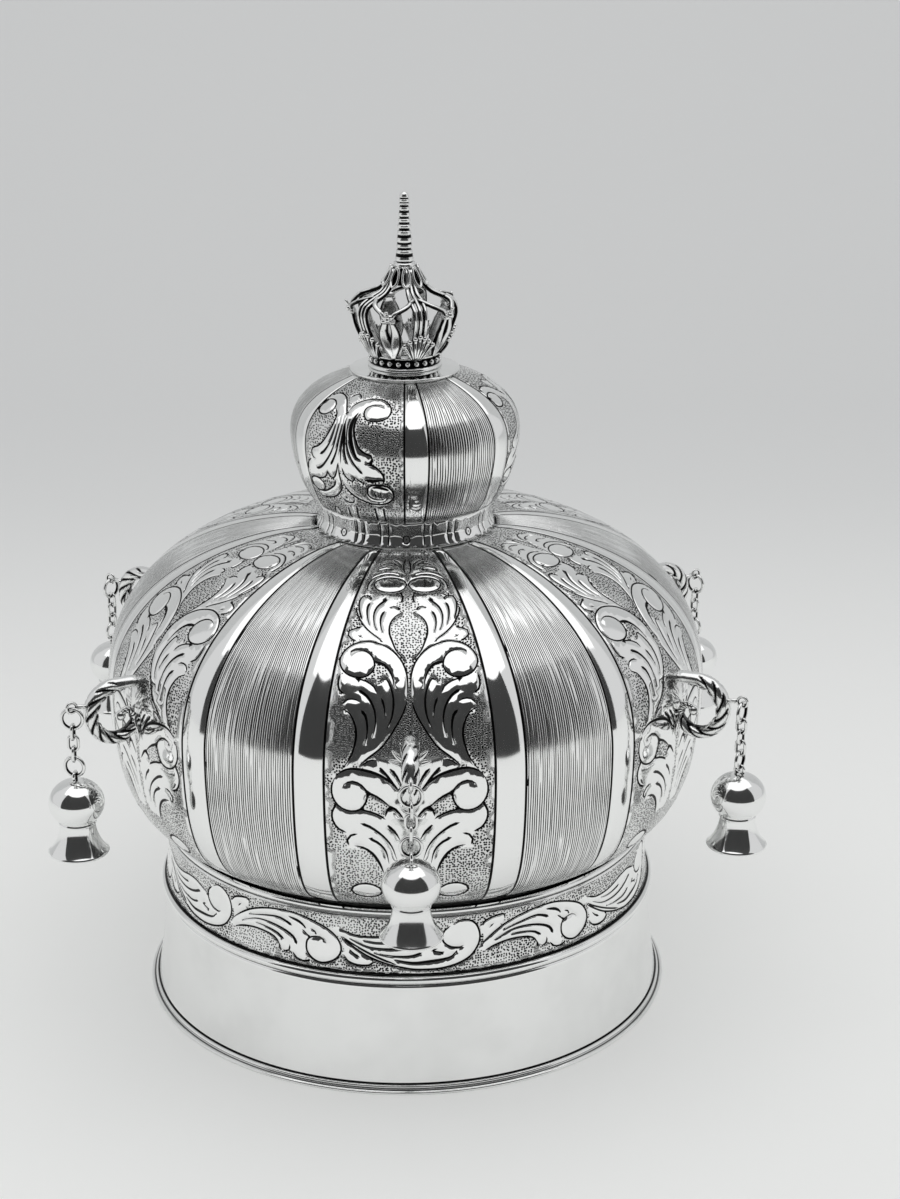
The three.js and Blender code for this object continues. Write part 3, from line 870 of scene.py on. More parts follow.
# one leafy panel of the bulb: kind of cut, width, middle line as (azimuth, share above the waist)
bulbCuts = [
    # right scroll
    ("even", 0.85, [(-35.3, 0.70), (-34.6, 0.76), (-32.3, 0.795), (-28.6, 0.82), (-23.9, 0.837),
                    (-18.8, 0.841), (-14.6, 0.832), (-10.9, 0.81), (-8.6, 0.775), (-8.35, 0.74),
                    (-10.0, 0.705), (-13.7, 0.682), (-18.3, 0.675), (-21.6, 0.68), (-23.9, 0.705),
                    (-25.1, 0.74), (-24.1, 0.77), (-21.6, 0.787), (-17.4, 0.795), (-13.7, 0.787),
                    (-12.1, 0.762)]),
    # left scroll
    ("even", 0.85, [(-34.9, 0.69), (-38.5, 0.75), (-42.5, 0.80), (-47.0, 0.828), (-52.0, 0.836),
                    (-56.5, 0.825), (-58.3, 0.80)]),
    ("ring", 0.85, oval((-53.2, 0.722), 6.6, 0.056)),
    # bud between the scrolls
    ("even", 0.8, [(-40.8, 0.815), (-39.9, 0.848), (-36.9, 0.866), (-34.1, 0.852), (-32.1, 0.825)]),
    ("spine", 1.3, [(-36.7, 0.812), (-36.2, 0.79)]),
    # stems
    ("even", 0.9, [(-46.2, 0.73), (-42.5, 0.695), (-41.3, 0.655), (-41.6, 0.61), (-43.0, 0.56),
                   (-45.7, 0.51), (-49.0, 0.48), (-52.9, 0.46), (-53.9, 0.425), (-52.7, 0.405),
                   (-49.9, 0.40)]),
    ("spine", 1.5, [(-47.9, 0.432), (-44.3, 0.46), (-41.1, 0.51), (-39.5, 0.56), (-39.3, 0.62),
                    (-40.3, 0.67)]),
    ("spine", 1.5, [(-51.4, 0.337), (-47.1, 0.36), (-43.4, 0.40), (-40.2, 0.45), (-37.9, 0.51),
                    (-37.1, 0.57), (-37.3, 0.63), (-39.0, 0.69)]),
    ("spine", 1.4, [(-40.5, 0.382), (-37.9, 0.43), (-36.0, 0.485), (-35.0, 0.56), (-35.1, 0.63),
                    (-36.9, 0.70)]),
    ("swell", 1.1, [(-33.9, 0.40), (-33.5, 0.47), (-33.3, 0.54), (-33.6, 0.61), (-34.6, 0.69)]),
    ("swell", 1.5, [(-29.0, 0.40), (-30.5, 0.44), (-31.6, 0.49), (-32.0, 0.55), (-33.0, 0.61),
                    (-34.3, 0.66)]),
    ("spine", 1.5, [(-21.2, 0.357), (-24.6, 0.395), (-27.4, 0.44), (-29.6, 0.50), (-30.8, 0.56),
                    (-31.6, 0.63), (-31.0, 0.69)]),
    ("swell", 2.4, [(-21.8, 0.447), (-24.6, 0.455), (-26.6, 0.50), (-28.6, 0.56), (-29.8, 0.62),
                    (-29.6, 0.68), (-28.2, 0.73)]),
    ("even", 1.1, [(-27.0, 0.73), (-27.9, 0.68), (-27.7, 0.62), (-25.8, 0.56), (-23.1, 0.51),
                   (-19.6, 0.485), (-17.0, 0.478), (-16.2, 0.455), (-17.7, 0.43), (-21.1, 0.427)]),
    ("even", 1.1, [(-17.6, 0.424), (-14.6, 0.41), (-11.6, 0.375), (-10.5, 0.342), (-11.4, 0.308)]),
    ("swell", 1.9, [(-21.5, 0.326), (-17.5, 0.322), (-13.5, 0.328), (-11.0, 0.333)]),
    # lower lobes
    ("even", 0.9, [(-54.0, 0.395), (-57.2, 0.372), (-58.4, 0.345), (-58.6, 0.31)]),
    ("even", 0.9, [(-53.5, 0.282), (-50.0, 0.282), (-46.7, 0.292), (-44.0, 0.315), (-43.0, 0.35)]),
    ("even", 0.9, [(-43.0, 0.35), (-42.0, 0.315), (-39.7, 0.303), (-37.9, 0.325), (-36.3, 0.37),
                   (-35.0, 0.42)]),
    ("even", 0.9, [(-33.4, 0.395), (-32.3, 0.345), (-30.0, 0.315), (-27.8, 0.306), (-26.3, 0.322),
                   (-26.6, 0.352)]),
    ("even", 0.8, [(-25.7, 0.335), (-23.4, 0.312), (-20.2, 0.295)]),
    # lower scrolls
    ("even", 0.9, [(-34.9, 0.40), (-35.3, 0.34), (-34.8, 0.29), (-35.1, 0.245), (-37.9, 0.205),
                   (-42.0, 0.175), (-48.0, 0.157), (-53.0, 0.158)]),
    ("even", 0.9, [(-38.0, 0.305), (-39.2, 0.265), (-42.3, 0.235), (-47.0, 0.205), (-52.0, 0.19)]),
    ("ring", 0.9, oval((-53.0, 0.237), 5.9, 0.044)),
    ("even", 1.0, [(-34.3, 0.30), (-32.3, 0.255), (-28.5, 0.213), (-24.0, 0.187), (-18.0, 0.167),
                   (-12.5, 0.168), (-8.0, 0.19), (-5.9, 0.225), (-6.6, 0.265), (-9.3, 0.292),
                   (-13.0, 0.299), (-17.5, 0.292), (-19.6, 0.27), (-20.0, 0.24), (-18.5, 0.212),
                   (-15.0, 0.199), (-11.6, 0.205), (-10.0, 0.228)]),
    ("swell", 1.7, [(-17.6, 0.275), (-14.0, 0.284), (-10.5, 0.276), (-8.0, 0.262)]),
    ("even", 0.7, [(-15.7, 0.27), (-15.9, 0.24), (-15.6, 0.21)]),
    ("even", 0.7, [(-12.3, 0.27), (-12.8, 0.24), (-12.3, 0.21)]),
    # two stems and drops on the neck
    ("even", 1.0, [(-34.0, 0.13), (-34.5, 0.08), (-35.0, 0.045), (-35.0, 0.012)]),
    ("even", 1.0, [(-27.8, 0.145), (-28.8, 0.09), (-29.4, 0.045), (-29.6, 0.012)]),
    ("even", 1.0, [(-16.9, 0.15), (-16.9, 0.09), (-16.9, 0.045), (-16.9, 0.012)]),
    ("even", 1.0, [(-12.0, 0.15), (-12.0, 0.09), (-11.9, 0.045), (-11.9, 0.012)]),
    ("even", 0.8, [(-47.4, 0.035), (-46.0, 0.07), (-44.2, 0.098), (-42.6, 0.09), (-42.3, 0.05),
                   (-43.6, 0.02), (-45.5, 0.018), (-47.2, 0.033)]),
    ("swell", 1.2, [(-33.4, 0.205), (-33.2, 0.19), (-33.0, 0.175)]),
    ("even", 0.8, [(-36.2, 0.185), (-34.6, 0.165), (-32.0, 0.152), (-29.4, 0.16), (-28.4, 0.19)]),
]

bulbLeaves = [
    [(-35.3, 0.70), (-34.6, 0.76), (-32.3, 0.795), (-28.6, 0.82), (-23.9, 0.837), (-18.8, 0.841),
     (-14.6, 0.832), (-10.9, 0.81), (-8.6, 0.775), (-8.35, 0.74), (-10.0, 0.705), (-13.7, 0.682),
     (-18.3, 0.675), (-21.6, 0.68), (-23.9, 0.705), (-25.1, 0.74), (-27.0, 0.73), (-27.9, 0.68),
     (-27.7, 0.62), (-25.8, 0.56), (-23.1, 0.51), (-19.6, 0.485), (-17.0, 0.478), (-16.2, 0.455),
     (-17.7, 0.43), (-14.6, 0.41), (-11.6, 0.375), (-10.5, 0.342), (-11.0, 0.333), (-21.5, 0.326),
     (-26.3, 0.345), (-26.3, 0.322), (-27.8, 0.306), (-30.0, 0.315), (-33.4, 0.36), (-35.0, 0.36),
     (-37.9, 0.325), (-39.7, 0.303), (-42.0, 0.315), (-43.0, 0.35), (-44.0, 0.315), (-46.7, 0.292),
     (-50.0, 0.282), (-58.6, 0.29), (-58.4, 0.345), (-57.2, 0.372), (-54.0, 0.395), (-53.9, 0.425),
     (-52.9, 0.46), (-49.0, 0.48), (-45.7, 0.51), (-43.0, 0.56), (-41.6, 0.61), (-41.3, 0.655),
     (-42.5, 0.695), (-46.6, 0.725), (-46.6, 0.71), (-49.0, 0.678), (-53.0, 0.666), (-57.0, 0.68),
     (-58.6, 0.72), (-58.3, 0.80), (-56.5, 0.825), (-52.0, 0.836), (-47.0, 0.828), (-42.5, 0.80),
     (-38.5, 0.75)],
    [(-40.8, 0.815), (-39.9, 0.848), (-36.9, 0.866), (-34.1, 0.852), (-32.1, 0.825), (-34.0, 0.79),
     (-36.0, 0.76), (-39.0, 0.79)],
    [(-34.3, 0.36), (-34.3, 0.30), (-32.3, 0.255), (-28.5, 0.213), (-24.0, 0.187), (-18.0, 0.167),
     (-12.5, 0.168), (-8.0, 0.19), (-5.9, 0.225), (-6.6, 0.265), (-9.3, 0.292), (-13.0, 0.299),
     (-17.5, 0.292), (-19.6, 0.27), (-20.0, 0.24), (-20.5, 0.212), (-26.0, 0.235), (-30.0, 0.265),
     (-32.5, 0.32)],
    [(-36.5, 0.36), (-38.0, 0.305), (-39.2, 0.265), (-42.3, 0.235), (-47.0, 0.205), (-52.0, 0.19),
     (-58.0, 0.20), (-58.9, 0.237), (-57.0, 0.27), (-53.0, 0.281), (-49.0, 0.27), (-47.1, 0.237),
     (-47.5, 0.21), (-53.0, 0.19), (-53.0, 0.158), (-48.0, 0.157), (-42.0, 0.175), (-37.9, 0.205),
     (-35.1, 0.245), (-34.5, 0.30)],
    [(-34.0, 0.14), (-34.5, 0.08), (-35.0, 0.02), (-35.0, -0.05), (-29.6, -0.05), (-29.4, 0.03),
     (-28.8, 0.09), (-27.8, 0.15), (-28.4, 0.19), (-33.0, 0.23), (-36.2, 0.185)],
    [(-16.9, 0.16), (-16.9, -0.05), (-11.9, -0.05), (-12.0, 0.16)],
    [(-47.4, 0.035), (-46.0, 0.07), (-44.2, 0.098), (-42.6, 0.09), (-42.3, 0.05), (-43.6, 0.02)],
]


def bulbWall():
    radius, _, top = span("bulb")
    start = neck["top"]
    widest = (radius, bulb["widest"])
    below, above = bulb["bellyPulls"]
    outPull, upPull = bulb["footPull"]
    bowl = cubic(start, (start[0] + outPull, start[1] + upPull), (radius, widest[1] - below), widest, 50)
    outPull, downPull = bulb["topPull"]
    pulled = (bulb["top"] + outPull, top - downPull)
    crown = cubic(widest, (radius, widest[1] + above), pulled, (bulb["top"], top), 40)
    return Wall(np.vstack([bowl, crown[1:]]))


def neckWall():
    foot = span("bulb")[1]
    throat, top = neck["throat"], neck["top"]
    below, above = neck["throatPulls"]
    outPull, upPull = neck["footPull"]
    pulled = (throat[0] + outPull, foot + upPull)
    lower = cubic((neck["foot"], foot), pulled, (throat[0], throat[1] - below), throat, 10)
    inPull, downPull = neck["topPull"]
    upper = cubic(throat, (throat[0], throat[1] + above), (top[0] - inPull, top[1] - downPull), top, 8)
    return Wall(np.vstack([lower, upper[1:]]))


def neckSheet():
    # the ring under the bulb, with upright lines and drops
    wall = neckWall()
    half = 180 / neck["parts"]
    strokes = [("even", 0.7, [(side * at, 0.03), (side * at, 0.5), (side * at, 0.97)])
               for side in (-1, 1) for at in neck["uprights"]]
    strokes.append(("ring", 0.55, oval((0, 0.33), 2.3, 0.14)))
    strokes.append(("spine", 0.6, [(0, 0.42), (0, 0.33), (0, 0.26)]))
    cuts = [Cut(kind, width, points, wall, 1.0) for kind, width, points in strokes]
    points, faces, lift, groove, ground, sides, rims = chase(
        wall, np.linspace(0, 1, neck["rows"]), np.linspace(-half, half, 16), cuts, [], [], neck["relief"])
    part = Sheet()
    placed = wall.point(points[:, 0], points[:, 1], np.where(sides | rims, 0, lift))
    part.add(placed, faces, groove, ground * 0, wall.flat(points[:, 0], points[:, 1]))
    ring = Sheet()
    for k in range(neck["parts"]):
        ring.join(part, 2 * half * k)
    closeInside(ring, wall, bulb["wall"], 6)
    return ring


def bulbPanel(wall, shares):
    first, last = bulb["leafy"]
    room = bulb["sideRoom"]
    cuts = [Cut(kind, width, points, wall, 1.3) for kind, width, points in bulbCuts]
    for cut in cuts:
        for line in (cut.line, cut.left, cut.right):
            line[:, 0] = np.clip(line[:, 0], first + room, last - room)
    points, faces, lift, groove, ground, sides, rims = chase(
        wall, shares, np.linspace(first, last, 30), cuts, bulbLeaves, [], bulb["relief"])
    middle = (first + last) / 2
    half = (last - first) / 2
    narrow = half - borderHalf(wall, points[:, 1], bulb["borderCut"])
    narrowed = middle + (points[:, 0] - middle) / half * narrow
    panel = Sheet()
    placed = wall.point(narrowed, points[:, 1], np.where(sides | rims, 0, lift))
    panel.add(placed, faces, groove, ground, wall.flat(narrowed, points[:, 1]))
    return panel


def makeBulb():
    wall = bulbWall()
    shares = np.linspace(0, 1, bulb["rows"])
    first, last = bulb["leafy"]
    start, end = last + bulb["strip"], 120 + first - bulb["strip"]  # of the lined panel
    cutWidth = bulb["borderCut"]
    third = Sheet()
    third.join(bulbPanel(wall, shares))
    third.join(plainStrip(wall, shares, last, start, cutWidth, 4))
    third.join(plainStrip(wall, shares, end, 120 + first, cutWidth, 4))
    for edge, side in ((first, 1), (last, -1), (start, 1), (end, -1)):
        third.join(halfBorder(wall, shares, edge, side, cutWidth))
    third.join(linedPanel(wall, shares, start, end, bulb["lines"], cutWidth, bulb["lineDepth"]))
    whole = Sheet()
    for k in range(3):
        whole.join(third, 120 * k)
    closeInside(whole, wall, bulb["wall"])
    whole.join(neckSheet())
    whole.finish("bulbShell", "bulb", "engraved_silver")


makeBulb()
print("bulb made")


# the low band with its running scroll
band = {
    "waist": 91.7,
    "foot": 92.8,
    "flare": 0.5,  # how far the top stands out past the waist
    "rows": 9,
    "wall": 1.0,
    "repeat": 60.0,
    "relief": {"spacing": 1.6, "pillow": 0.2, "shoulder": 1.5, "sunk": 0.14, "depth": 0.4},
}

# one repeat of the running scroll: kind of cut, width, middle line as (azimuth, share of the height)
bandCuts = [
    ("even", 1.0, [(9.2, 0.82), (11.2, 0.90), (13.0, 0.89), (14.7, 0.80), (15.6, 0.64), (15.6, 0.50),
                   (14.9, 0.38), (13.4, 0.25), (10.8, 0.155), (7.2, 0.095), (3.5, 0.083), (-0.2, 0.10),
                   (-5.0, 0.18)]),
    ("even", 1.0, [(9.2, 0.82), (7.7, 0.738), (7.1, 0.63), (7.5, 0.524), (9.0, 0.44), (11.2, 0.42),
                   (12.3, 0.46)]),
    ("even", 0.8, [(6.4, 0.43), (4.8, 0.393), (6.8, 0.357), (7.5, 0.30)]),
    ("swell", 1.5, [(10.5, 0.39), (9.4, 0.286), (7.5, 0.243), (4.2, 0.214), (0.5, 0.198), (-3.9, 0.26)]),
    ("spine", 1.3, [(2.9, 0.37), (-0.2, 0.31), (-5.0, 0.32), (-8.3, 0.357)]),
    ("spine", 1.6, [(3.8, 0.595), (1.3, 0.51), (-1.6, 0.452), (-5.3, 0.43), (-9.7, 0.464),
                    (-13.8, 0.595)]),
    ("spine", 1.3, [(-2.0, 0.576), (-4.2, 0.548), (-7.5, 0.536), (-10.8, 0.571)]),
    ("even", 0.9, [(-15.6, 0.595), (-13.4, 0.476), (-9.7, 0.31), (-6.0, 0.20), (-2.4, 0.12)]),
    ("even", 0.9, [(-16.0, 0.74), (-12.3, 0.643), (-8.6, 0.63), (-5.3, 0.66), (-1.5, 0.72), (2.0, 0.73),
                   (5.5, 0.66), (7.0, 0.62)]),
    ("swell", 1.2, [(15.8, 0.726), (16.7, 0.82), (18.6, 0.88), (21.2, 0.90), (21.4, 0.80)]),
    ("spine", 1.5, [(19.2, 0.774), (18.4, 0.73), (17.6, 0.67)]),
    ("even", 1.0, [(15.3, 0.357), (17.1, 0.50), (20.1, 0.655), (23.0, 0.762), (26.7, 0.845), (30.4, 0.88),
                   (34.1, 0.876), (37.7, 0.814), (41.1, 0.714), (43.3, 0.595), (44.6, 0.43),
                   (44.4, 0.286), (42.9, 0.167), (40.3, 0.10), (38.1, 0.143), (36.6, 0.262), (36.6, 0.43),
                   (37.7, 0.512), (39.6, 0.536), (40.9, 0.488), (41.4, 0.417)]),
    ("swell", 1.6, [(31.8, 0.798), (34.8, 0.738), (36.6, 0.631)]),
    ("even", 0.8, [(35.2, 0.619), (36.3, 0.56), (37.0, 0.488)]),
    ("even", 0.8, [(37.2, 0.655), (38.5, 0.619), (39.2, 0.548)]),
    ("spine", 1.7, [(33.1, 0.631), (31.1, 0.702), (28.9, 0.733), (25.2, 0.69), (20.8, 0.607)]),
    ("spine", 1.7, [(34.2, 0.31), (33.1, 0.452), (30.4, 0.548), (26.7, 0.60), (23.0, 0.583),
                    (18.6, 0.452)]),
    ("spine", 1.5, [(30.9, 0.345), (29.3, 0.44), (26.3, 0.50), (22.6, 0.512)]),
    ("even", 1.0, [(30.2, 0.19), (29.1, 0.321), (27.4, 0.393), (23.7, 0.424), (20.1, 0.393),
                   (16.7, 0.31)]),
    ("even", 0.9, [(30.6, 0.17), (32.2, 0.20), (32.3, 0.32)]),
    ("even", 0.9, [(32.9, 0.21), (34.1, 0.107), (35.9, 0.076), (37.9, 0.12)]),
    ("swell", 1.2, [(45.1, 0.31), (46.2, 0.19), (48.4, 0.131), (51.0, 0.143), (51.9, 0.19),
                    (51.4, 0.286)]),
    ("spine", 1.5, [(49.2, 0.25), (47.5, 0.32), (46.3, 0.41)]),
    ("even", 0.9, [(44.7, 0.607), (46.6, 0.512), (50.3, 0.37), (54.0, 0.25), (57.4, 0.155)]),
]

bandLeaves = [
    [(-16.5, 0.76), (-12.3, 0.643), (-8.6, 0.63), (-5.3, 0.66), (-1.5, 0.72), (2.0, 0.73), (5.5, 0.66),
     (7.1, 0.63), (7.7, 0.738), (9.2, 0.82), (11.2, 0.90), (13.0, 0.89), (14.7, 0.80), (15.6, 0.64),
     (15.6, 0.50), (14.9, 0.38), (13.4, 0.25), (10.8, 0.155), (7.2, 0.095), (3.5, 0.083), (-0.2, 0.10),
     (-2.4, 0.12), (-6.0, 0.20), (-9.7, 0.31), (-13.4, 0.476), (-15.6, 0.595), (-18.5, 0.70)],
    [(15.8, 0.726), (16.7, 0.82), (18.6, 0.88), (21.2, 0.90), (21.4, 0.80), (20.1, 0.655), (17.1, 0.50),
     (15.8, 0.60)],
    [(15.3, 0.357), (17.1, 0.50), (20.1, 0.655), (23.0, 0.762), (26.7, 0.845), (30.4, 0.88),
     (34.1, 0.876), (37.7, 0.814), (41.1, 0.714), (43.3, 0.595), (44.6, 0.43), (44.4, 0.286),
     (42.9, 0.167), (40.3, 0.10), (38.1, 0.143), (36.6, 0.262), (35.9, 0.076), (34.1, 0.107),
     (32.9, 0.21), (30.4, 0.18), (29.1, 0.321), (27.4, 0.393), (23.7, 0.424), (20.1, 0.393),
     (16.7, 0.31)],
    [(44.9, 0.45), (45.1, 0.31), (46.2, 0.19), (48.4, 0.131), (51.0, 0.143), (51.9, 0.19), (51.4, 0.286),
     (47.8, 0.45), (45.5, 0.56)],
]


def makeBand():
    _, low, high = span("engraved_band")
    wall = Wall(hollowed(band["foot"], band["waist"], band["waist"] + band["flare"], low, high, 24))
    repeat = band["repeat"]
    half = repeat / 2
    cuts = []
    leaves = []
    for shift in (-repeat, 0, repeat):
        for kind, width, points in bandCuts:
            cut = Cut(kind, width, [(azimuth + shift, share) for azimuth, share in points], wall, 1.4)
            if cut.line[:, 0].max() > -half - 1 and cut.line[:, 0].min() < half + 1:
                cuts.append(cut)
        leaves += [[(azimuth + shift, share) for azimuth, share in outline] for outline in bandLeaves]
    points, faces, lift, groove, ground, _, rims = chase(
        wall, np.linspace(0, 1, band["rows"]), np.linspace(-half, half, 41), cuts, leaves, [], band["relief"])
    lift = np.where(rims, 0, lift)
    whole = Sheet()
    for k in range(6):
        placed = wall.point(points[:, 0] + repeat * k, points[:, 1], lift)
        whole.add(placed, faces, groove, np.where(rims, 0, ground), wall.flat(points[:, 0], points[:, 1]))
    closeInside(whole, wall, band["wall"], 6)
    whole.finish("engravedBand", "engraved_band", "engraved_silver")


makeBand()
print("band made")


# plain turned pieces
turnedSides = 192
footSizes = {"inner": 94.6, "bead": 98.4, "beadRadius": 0.8, "flange": 1.2}
collarSizes = {"foot": 97.0, "waist": 94.2, "top": 93.3, "wall": 1.0}
capSizes = {"ledge": 14.2, "lip": 0.5, "sides": 96}
ringBores = {"collar_moulding": 91.4, "seat_ring": 85.8}


def turnedPiece(name, node, profile, groove):
    sheet = Sheet()
    lathe(sheet, [*profile, profile[0]], turnedSides, [*groove, groove[0]])
    sheet.finish(name, node, "polished_silver")


def makeRing(name, node):
    # a ring with a half-round outer side, dark in both corners
    radius, low, high = span(node)
    inner = ringBores[node]
    bulge = (high - low) / 2
    profile = [(inner, low), *arcPoints((radius - bulge, low + bulge), bulge, -90, 90, 14), (inner, high)]
    groove = np.zeros(len(profile))
    groove[1:4] = (1, 0.9, 0.4)
    groove[-3:-1] = (0.5, 1)
    turnedPiece(name, node, profile, groove)


def makeFoot():
    radius, low, high = span("foot_ring")
    inner, bead, beadRadius, flange = footSizes.values()
    top = low + flange
    edge = arcPoints((radius - flange / 2, low + flange / 2), flange / 2, -80, 80, 8)
    beadLine = arcPoints((bead - 0.9, top + beadRadius), beadRadius, -60, 60, 8)
    profile = [(inner, low), (radius - 0.3, low), *edge, (bead + 0.1, top), *beadLine]
    profile += [(collarSizes["foot"] - 0.1, high), (inner, high)]
    groove = [0, 0, *[0] * len(edge), 0.6, *[0] * len(beadLine), 1, 0.5]
    turnedPiece("footRing", "foot_ring", profile, groove)


def makeCollar():
    _, low, high = span("collar")
    foot, waist, top, wall = collarSizes.values()
    outer = hollowed(foot, waist, top, low, high, 25)
    inner = outer[::-1] - [wall, 0]
    darkFoot = outer[0] * 0.8 + outer[1] * 0.2
    profile = [outer[0], darkFoot, *outer[1:], *inner]
    turnedPiece("collarShell", "collar", profile, [0.9, *[0] * (len(profile) - 1)])


def makeCap():
    radius, low, high = span("cap")
    ledge, lip, sides = capSizes.values()
    profile = [(0, low), (radius - lip, low), *arcPoints((radius - lip, low + lip), lip, -90, 90, 8)]
    profile += [(radius - 1.6, low + 1.05), (ledge + 1.5, high - 0.25), (ledge, high), (0, high)]
    sheet = Sheet()
    lathe(sheet, profile, sides)
    sheet.finish("capDisc", "cap", "polished_silver")


makeFoot()
makeCollar()
makeRing("collarMoulding", "collar_moulding")
makeRing("seatRing", "seat_ring")
makeCap()
print("plain pieces made")


def sweep(sheet, path, across, wide, deep, sides=12, form=None, marks=None):
    # a bar with oval sections along a path, closed at both ends
    path = np.asarray(path, float)
    count = len(path)
    along = np.gradient(path, axis=0)
    along /= np.linalg.norm(along, axis=1)[:, None]
    across = np.broadcast_to(np.asarray(across, float), path.shape)
    across = across - (across * along).sum(1)[:, None] * along
    across /= np.linalg.norm(across, axis=1)[:, None]
    out = np.cross(across, along)
    angles = np.arange(sides) * 2 * math.pi / sides
    share = np.linspace(0, 1, count)[:, None]
    scale = np.ones((count, sides)) if form is None else form(share, angles[None])
    wide = np.broadcast_to(np.asarray(wide, float), (count,))[:, None, None]
    deep = np.broadcast_to(np.asarray(deep, float), (count,))[:, None, None]
    ring = across[:, None] * wide * (np.cos(angles) * scale)[..., None]
    ring = ring + out[:, None] * deep * (np.sin(angles) * scale)[..., None]
    points = np.vstack([(path[:, None] + ring).reshape(-1, 3), path[:1], path[-1:]])
    faces = gridFaces(count, sides, True)
    first, last = count * sides, count * sides + 1
    for j in range(sides):
        k = (j + 1) % sides
        faces.append((first, k, j))
        faces.append((last, (count - 1) * sides + j, (count - 1) * sides + k))
    groove = np.zeros((count, sides)) if marks is None else marks(share, angles[None])
    groove = np.broadcast_to(groove, (count, sides)).ravel()
    sheet.add(points, faces, np.r_[groove, 0, 0])


def curveThrough(points, count):
    # evenly many points on a smooth line through a few
    line = flowing(points, 0.1)
    pick = np.linspace(0, len(line) - 1, count)
    return np.stack([np.interp(pick, np.arange(len(line)), line[:, k]) for k in range(3)], 1)


def ball(sheet, centre, radius, levels=7, sides=12):
    angles = np.linspace(-math.pi / 2, math.pi / 2, levels)
    steps = np.arange(sides) * 360 / sides
    rings = [around(radius * math.cos(a), steps, radius * math.sin(a)) for a in angles]
    sheet.add(np.concatenate(rings) + np.asarray(centre), gridFaces(levels, sides, True))


def ringWire(sheet, centre, radius, thick, facing, stretch=0.0, steps=36, sides=10):
    # a wire ring hanging upright, where facing is the azimuth its flat side looks to
    angles = np.arange(steps) * 2 * math.pi / steps
    side = around(1.0, facing + 90, 0.0)
    outward = around(1.0, facing, 0.0)
    longer = np.clip(np.sin(angles) * 9, -1, 1) * stretch
    middle = np.cos(angles)[:, None] * radius * side[None]
    middle = middle + (np.sin(angles) * radius + longer)[:, None] * [0, 0, 1]
    spoke = np.cos(angles)[:, None] * side[None] + np.sin(angles)[:, None] * np.array([0, 0, 1.0])
    turn = np.arange(sides) * 2 * math.pi / sides
    section = np.cos(turn)[None, :, None] * spoke[:, None] + np.sin(turn)[None, :, None] * outward[None, None]
    points = (middle[:, None] + thick * section).reshape(-1, 3)
    faces = [tuple(i % len(points) for i in face) for face in gridFaces(steps + 1, sides, True)]
    # oxide stays along the inner side of the wire and in its corners
    dark = np.tile(np.clip(-np.cos(turn) * 1.3 - 0.1, 0, 0.95), steps)
    sheet.add(points + np.asarray(centre), faces, dark)


def repeatTree(slot):
    # copies of a shape turned about the upright axis
    tree = bpy.data.node_groups.new("copiesAroundAxis", "GeometryNodeTree")
    socket = tree.interface.new_socket
    socket("Geometry", in_out="INPUT", socket_type="NodeSocketGeometry")
    socket("Copies", in_out="INPUT", socket_type="NodeSocketInt")
    socket("First Turn", in_out="INPUT", socket_type="NodeSocketFloat")
    socket("Geometry", in_out="OUTPUT", socket_type="NodeSocketGeometry")
    nodes = tree.nodes
    given = nodes.new("NodeGroupInput")
    spots = nodes.new("GeometryNodePoints")
    index = nodes.new("GeometryNodeInputIndex")
    step = nodes.new("ShaderNodeMath")
    step.operation = "DIVIDE"
    step.inputs[0].default_value = 2 * math.pi
    angle = nodes.new("ShaderNodeMath")
    angle.operation = "MULTIPLY_ADD"
    turn = nodes.new("ShaderNodeCombineXYZ")
    copies = nodes.new("GeometryNodeInstanceOnPoints")
    real = nodes.new("GeometryNodeRealizeInstances")
    paint = nodes.new("GeometryNodeSetMaterial")
    paint.inputs["Material"].default_value = materials[slot]
    result = nodes.new("NodeGroupOutput")
    links = (
        (given.outputs["Copies"], spots.inputs["Count"]),
        (given.outputs["Copies"], step.inputs[1]),
        (index.outputs[0], angle.inputs[0]),
        (step.outputs[0], angle.inputs[1]),
        (given.outputs["First Turn"], angle.inputs[2]),
        (angle.outputs[0], turn.inputs["Z"]),
        (spots.outputs[0], copies.inputs["Points"]),
        (given.outputs["Geometry"], copies.inputs["Instance"]),
        (turn.outputs[0], copies.inputs["Rotation"]),
        (copies.outputs[0], real.inputs[0]),
        (real.outputs[0], paint.inputs["Geometry"]),
        (paint.outputs[0], result.inputs[0]),
    )
    for start, end in links:
        tree.links.new(start, end)
    return tree


def repeated(source, copies, firstTurn, slot):
    # a sheet of copies of another sheet, set round the axis
    made = source.build("pattern", slot)
    tree = repeatTree(slot)
    modifier = made.modifiers.new("copies", "NODES")
    modifier.node_group = tree
    ids = {item.name: item.identifier for item in tree.interface.items_tree if item.in_out == "INPUT"}
    modifier[ids["Copies"]] = copies
    modifier[ids["First Turn"]] = math.radians(firstTurn)
    shown = made.evaluated_get(bpy.context.evaluated_depsgraph_get())
    mesh = bpy.data.meshes.new_from_object(shown)
    made.modifiers.clear()
    bpy.data.objects.remove(made)
    points = np.zeros(len(mesh.vertices) * 3)
    mesh.vertices.foreach_get("co", points)
    groove = np.zeros(len(mesh.vertices))
    mesh.attributes["groove"].data.foreach_get("value", groove)
    out = Sheet()
    out.add(points.reshape(-1, 3) / mm, [tuple(face.vertices) for face in mesh.polygons], groove)
    return out


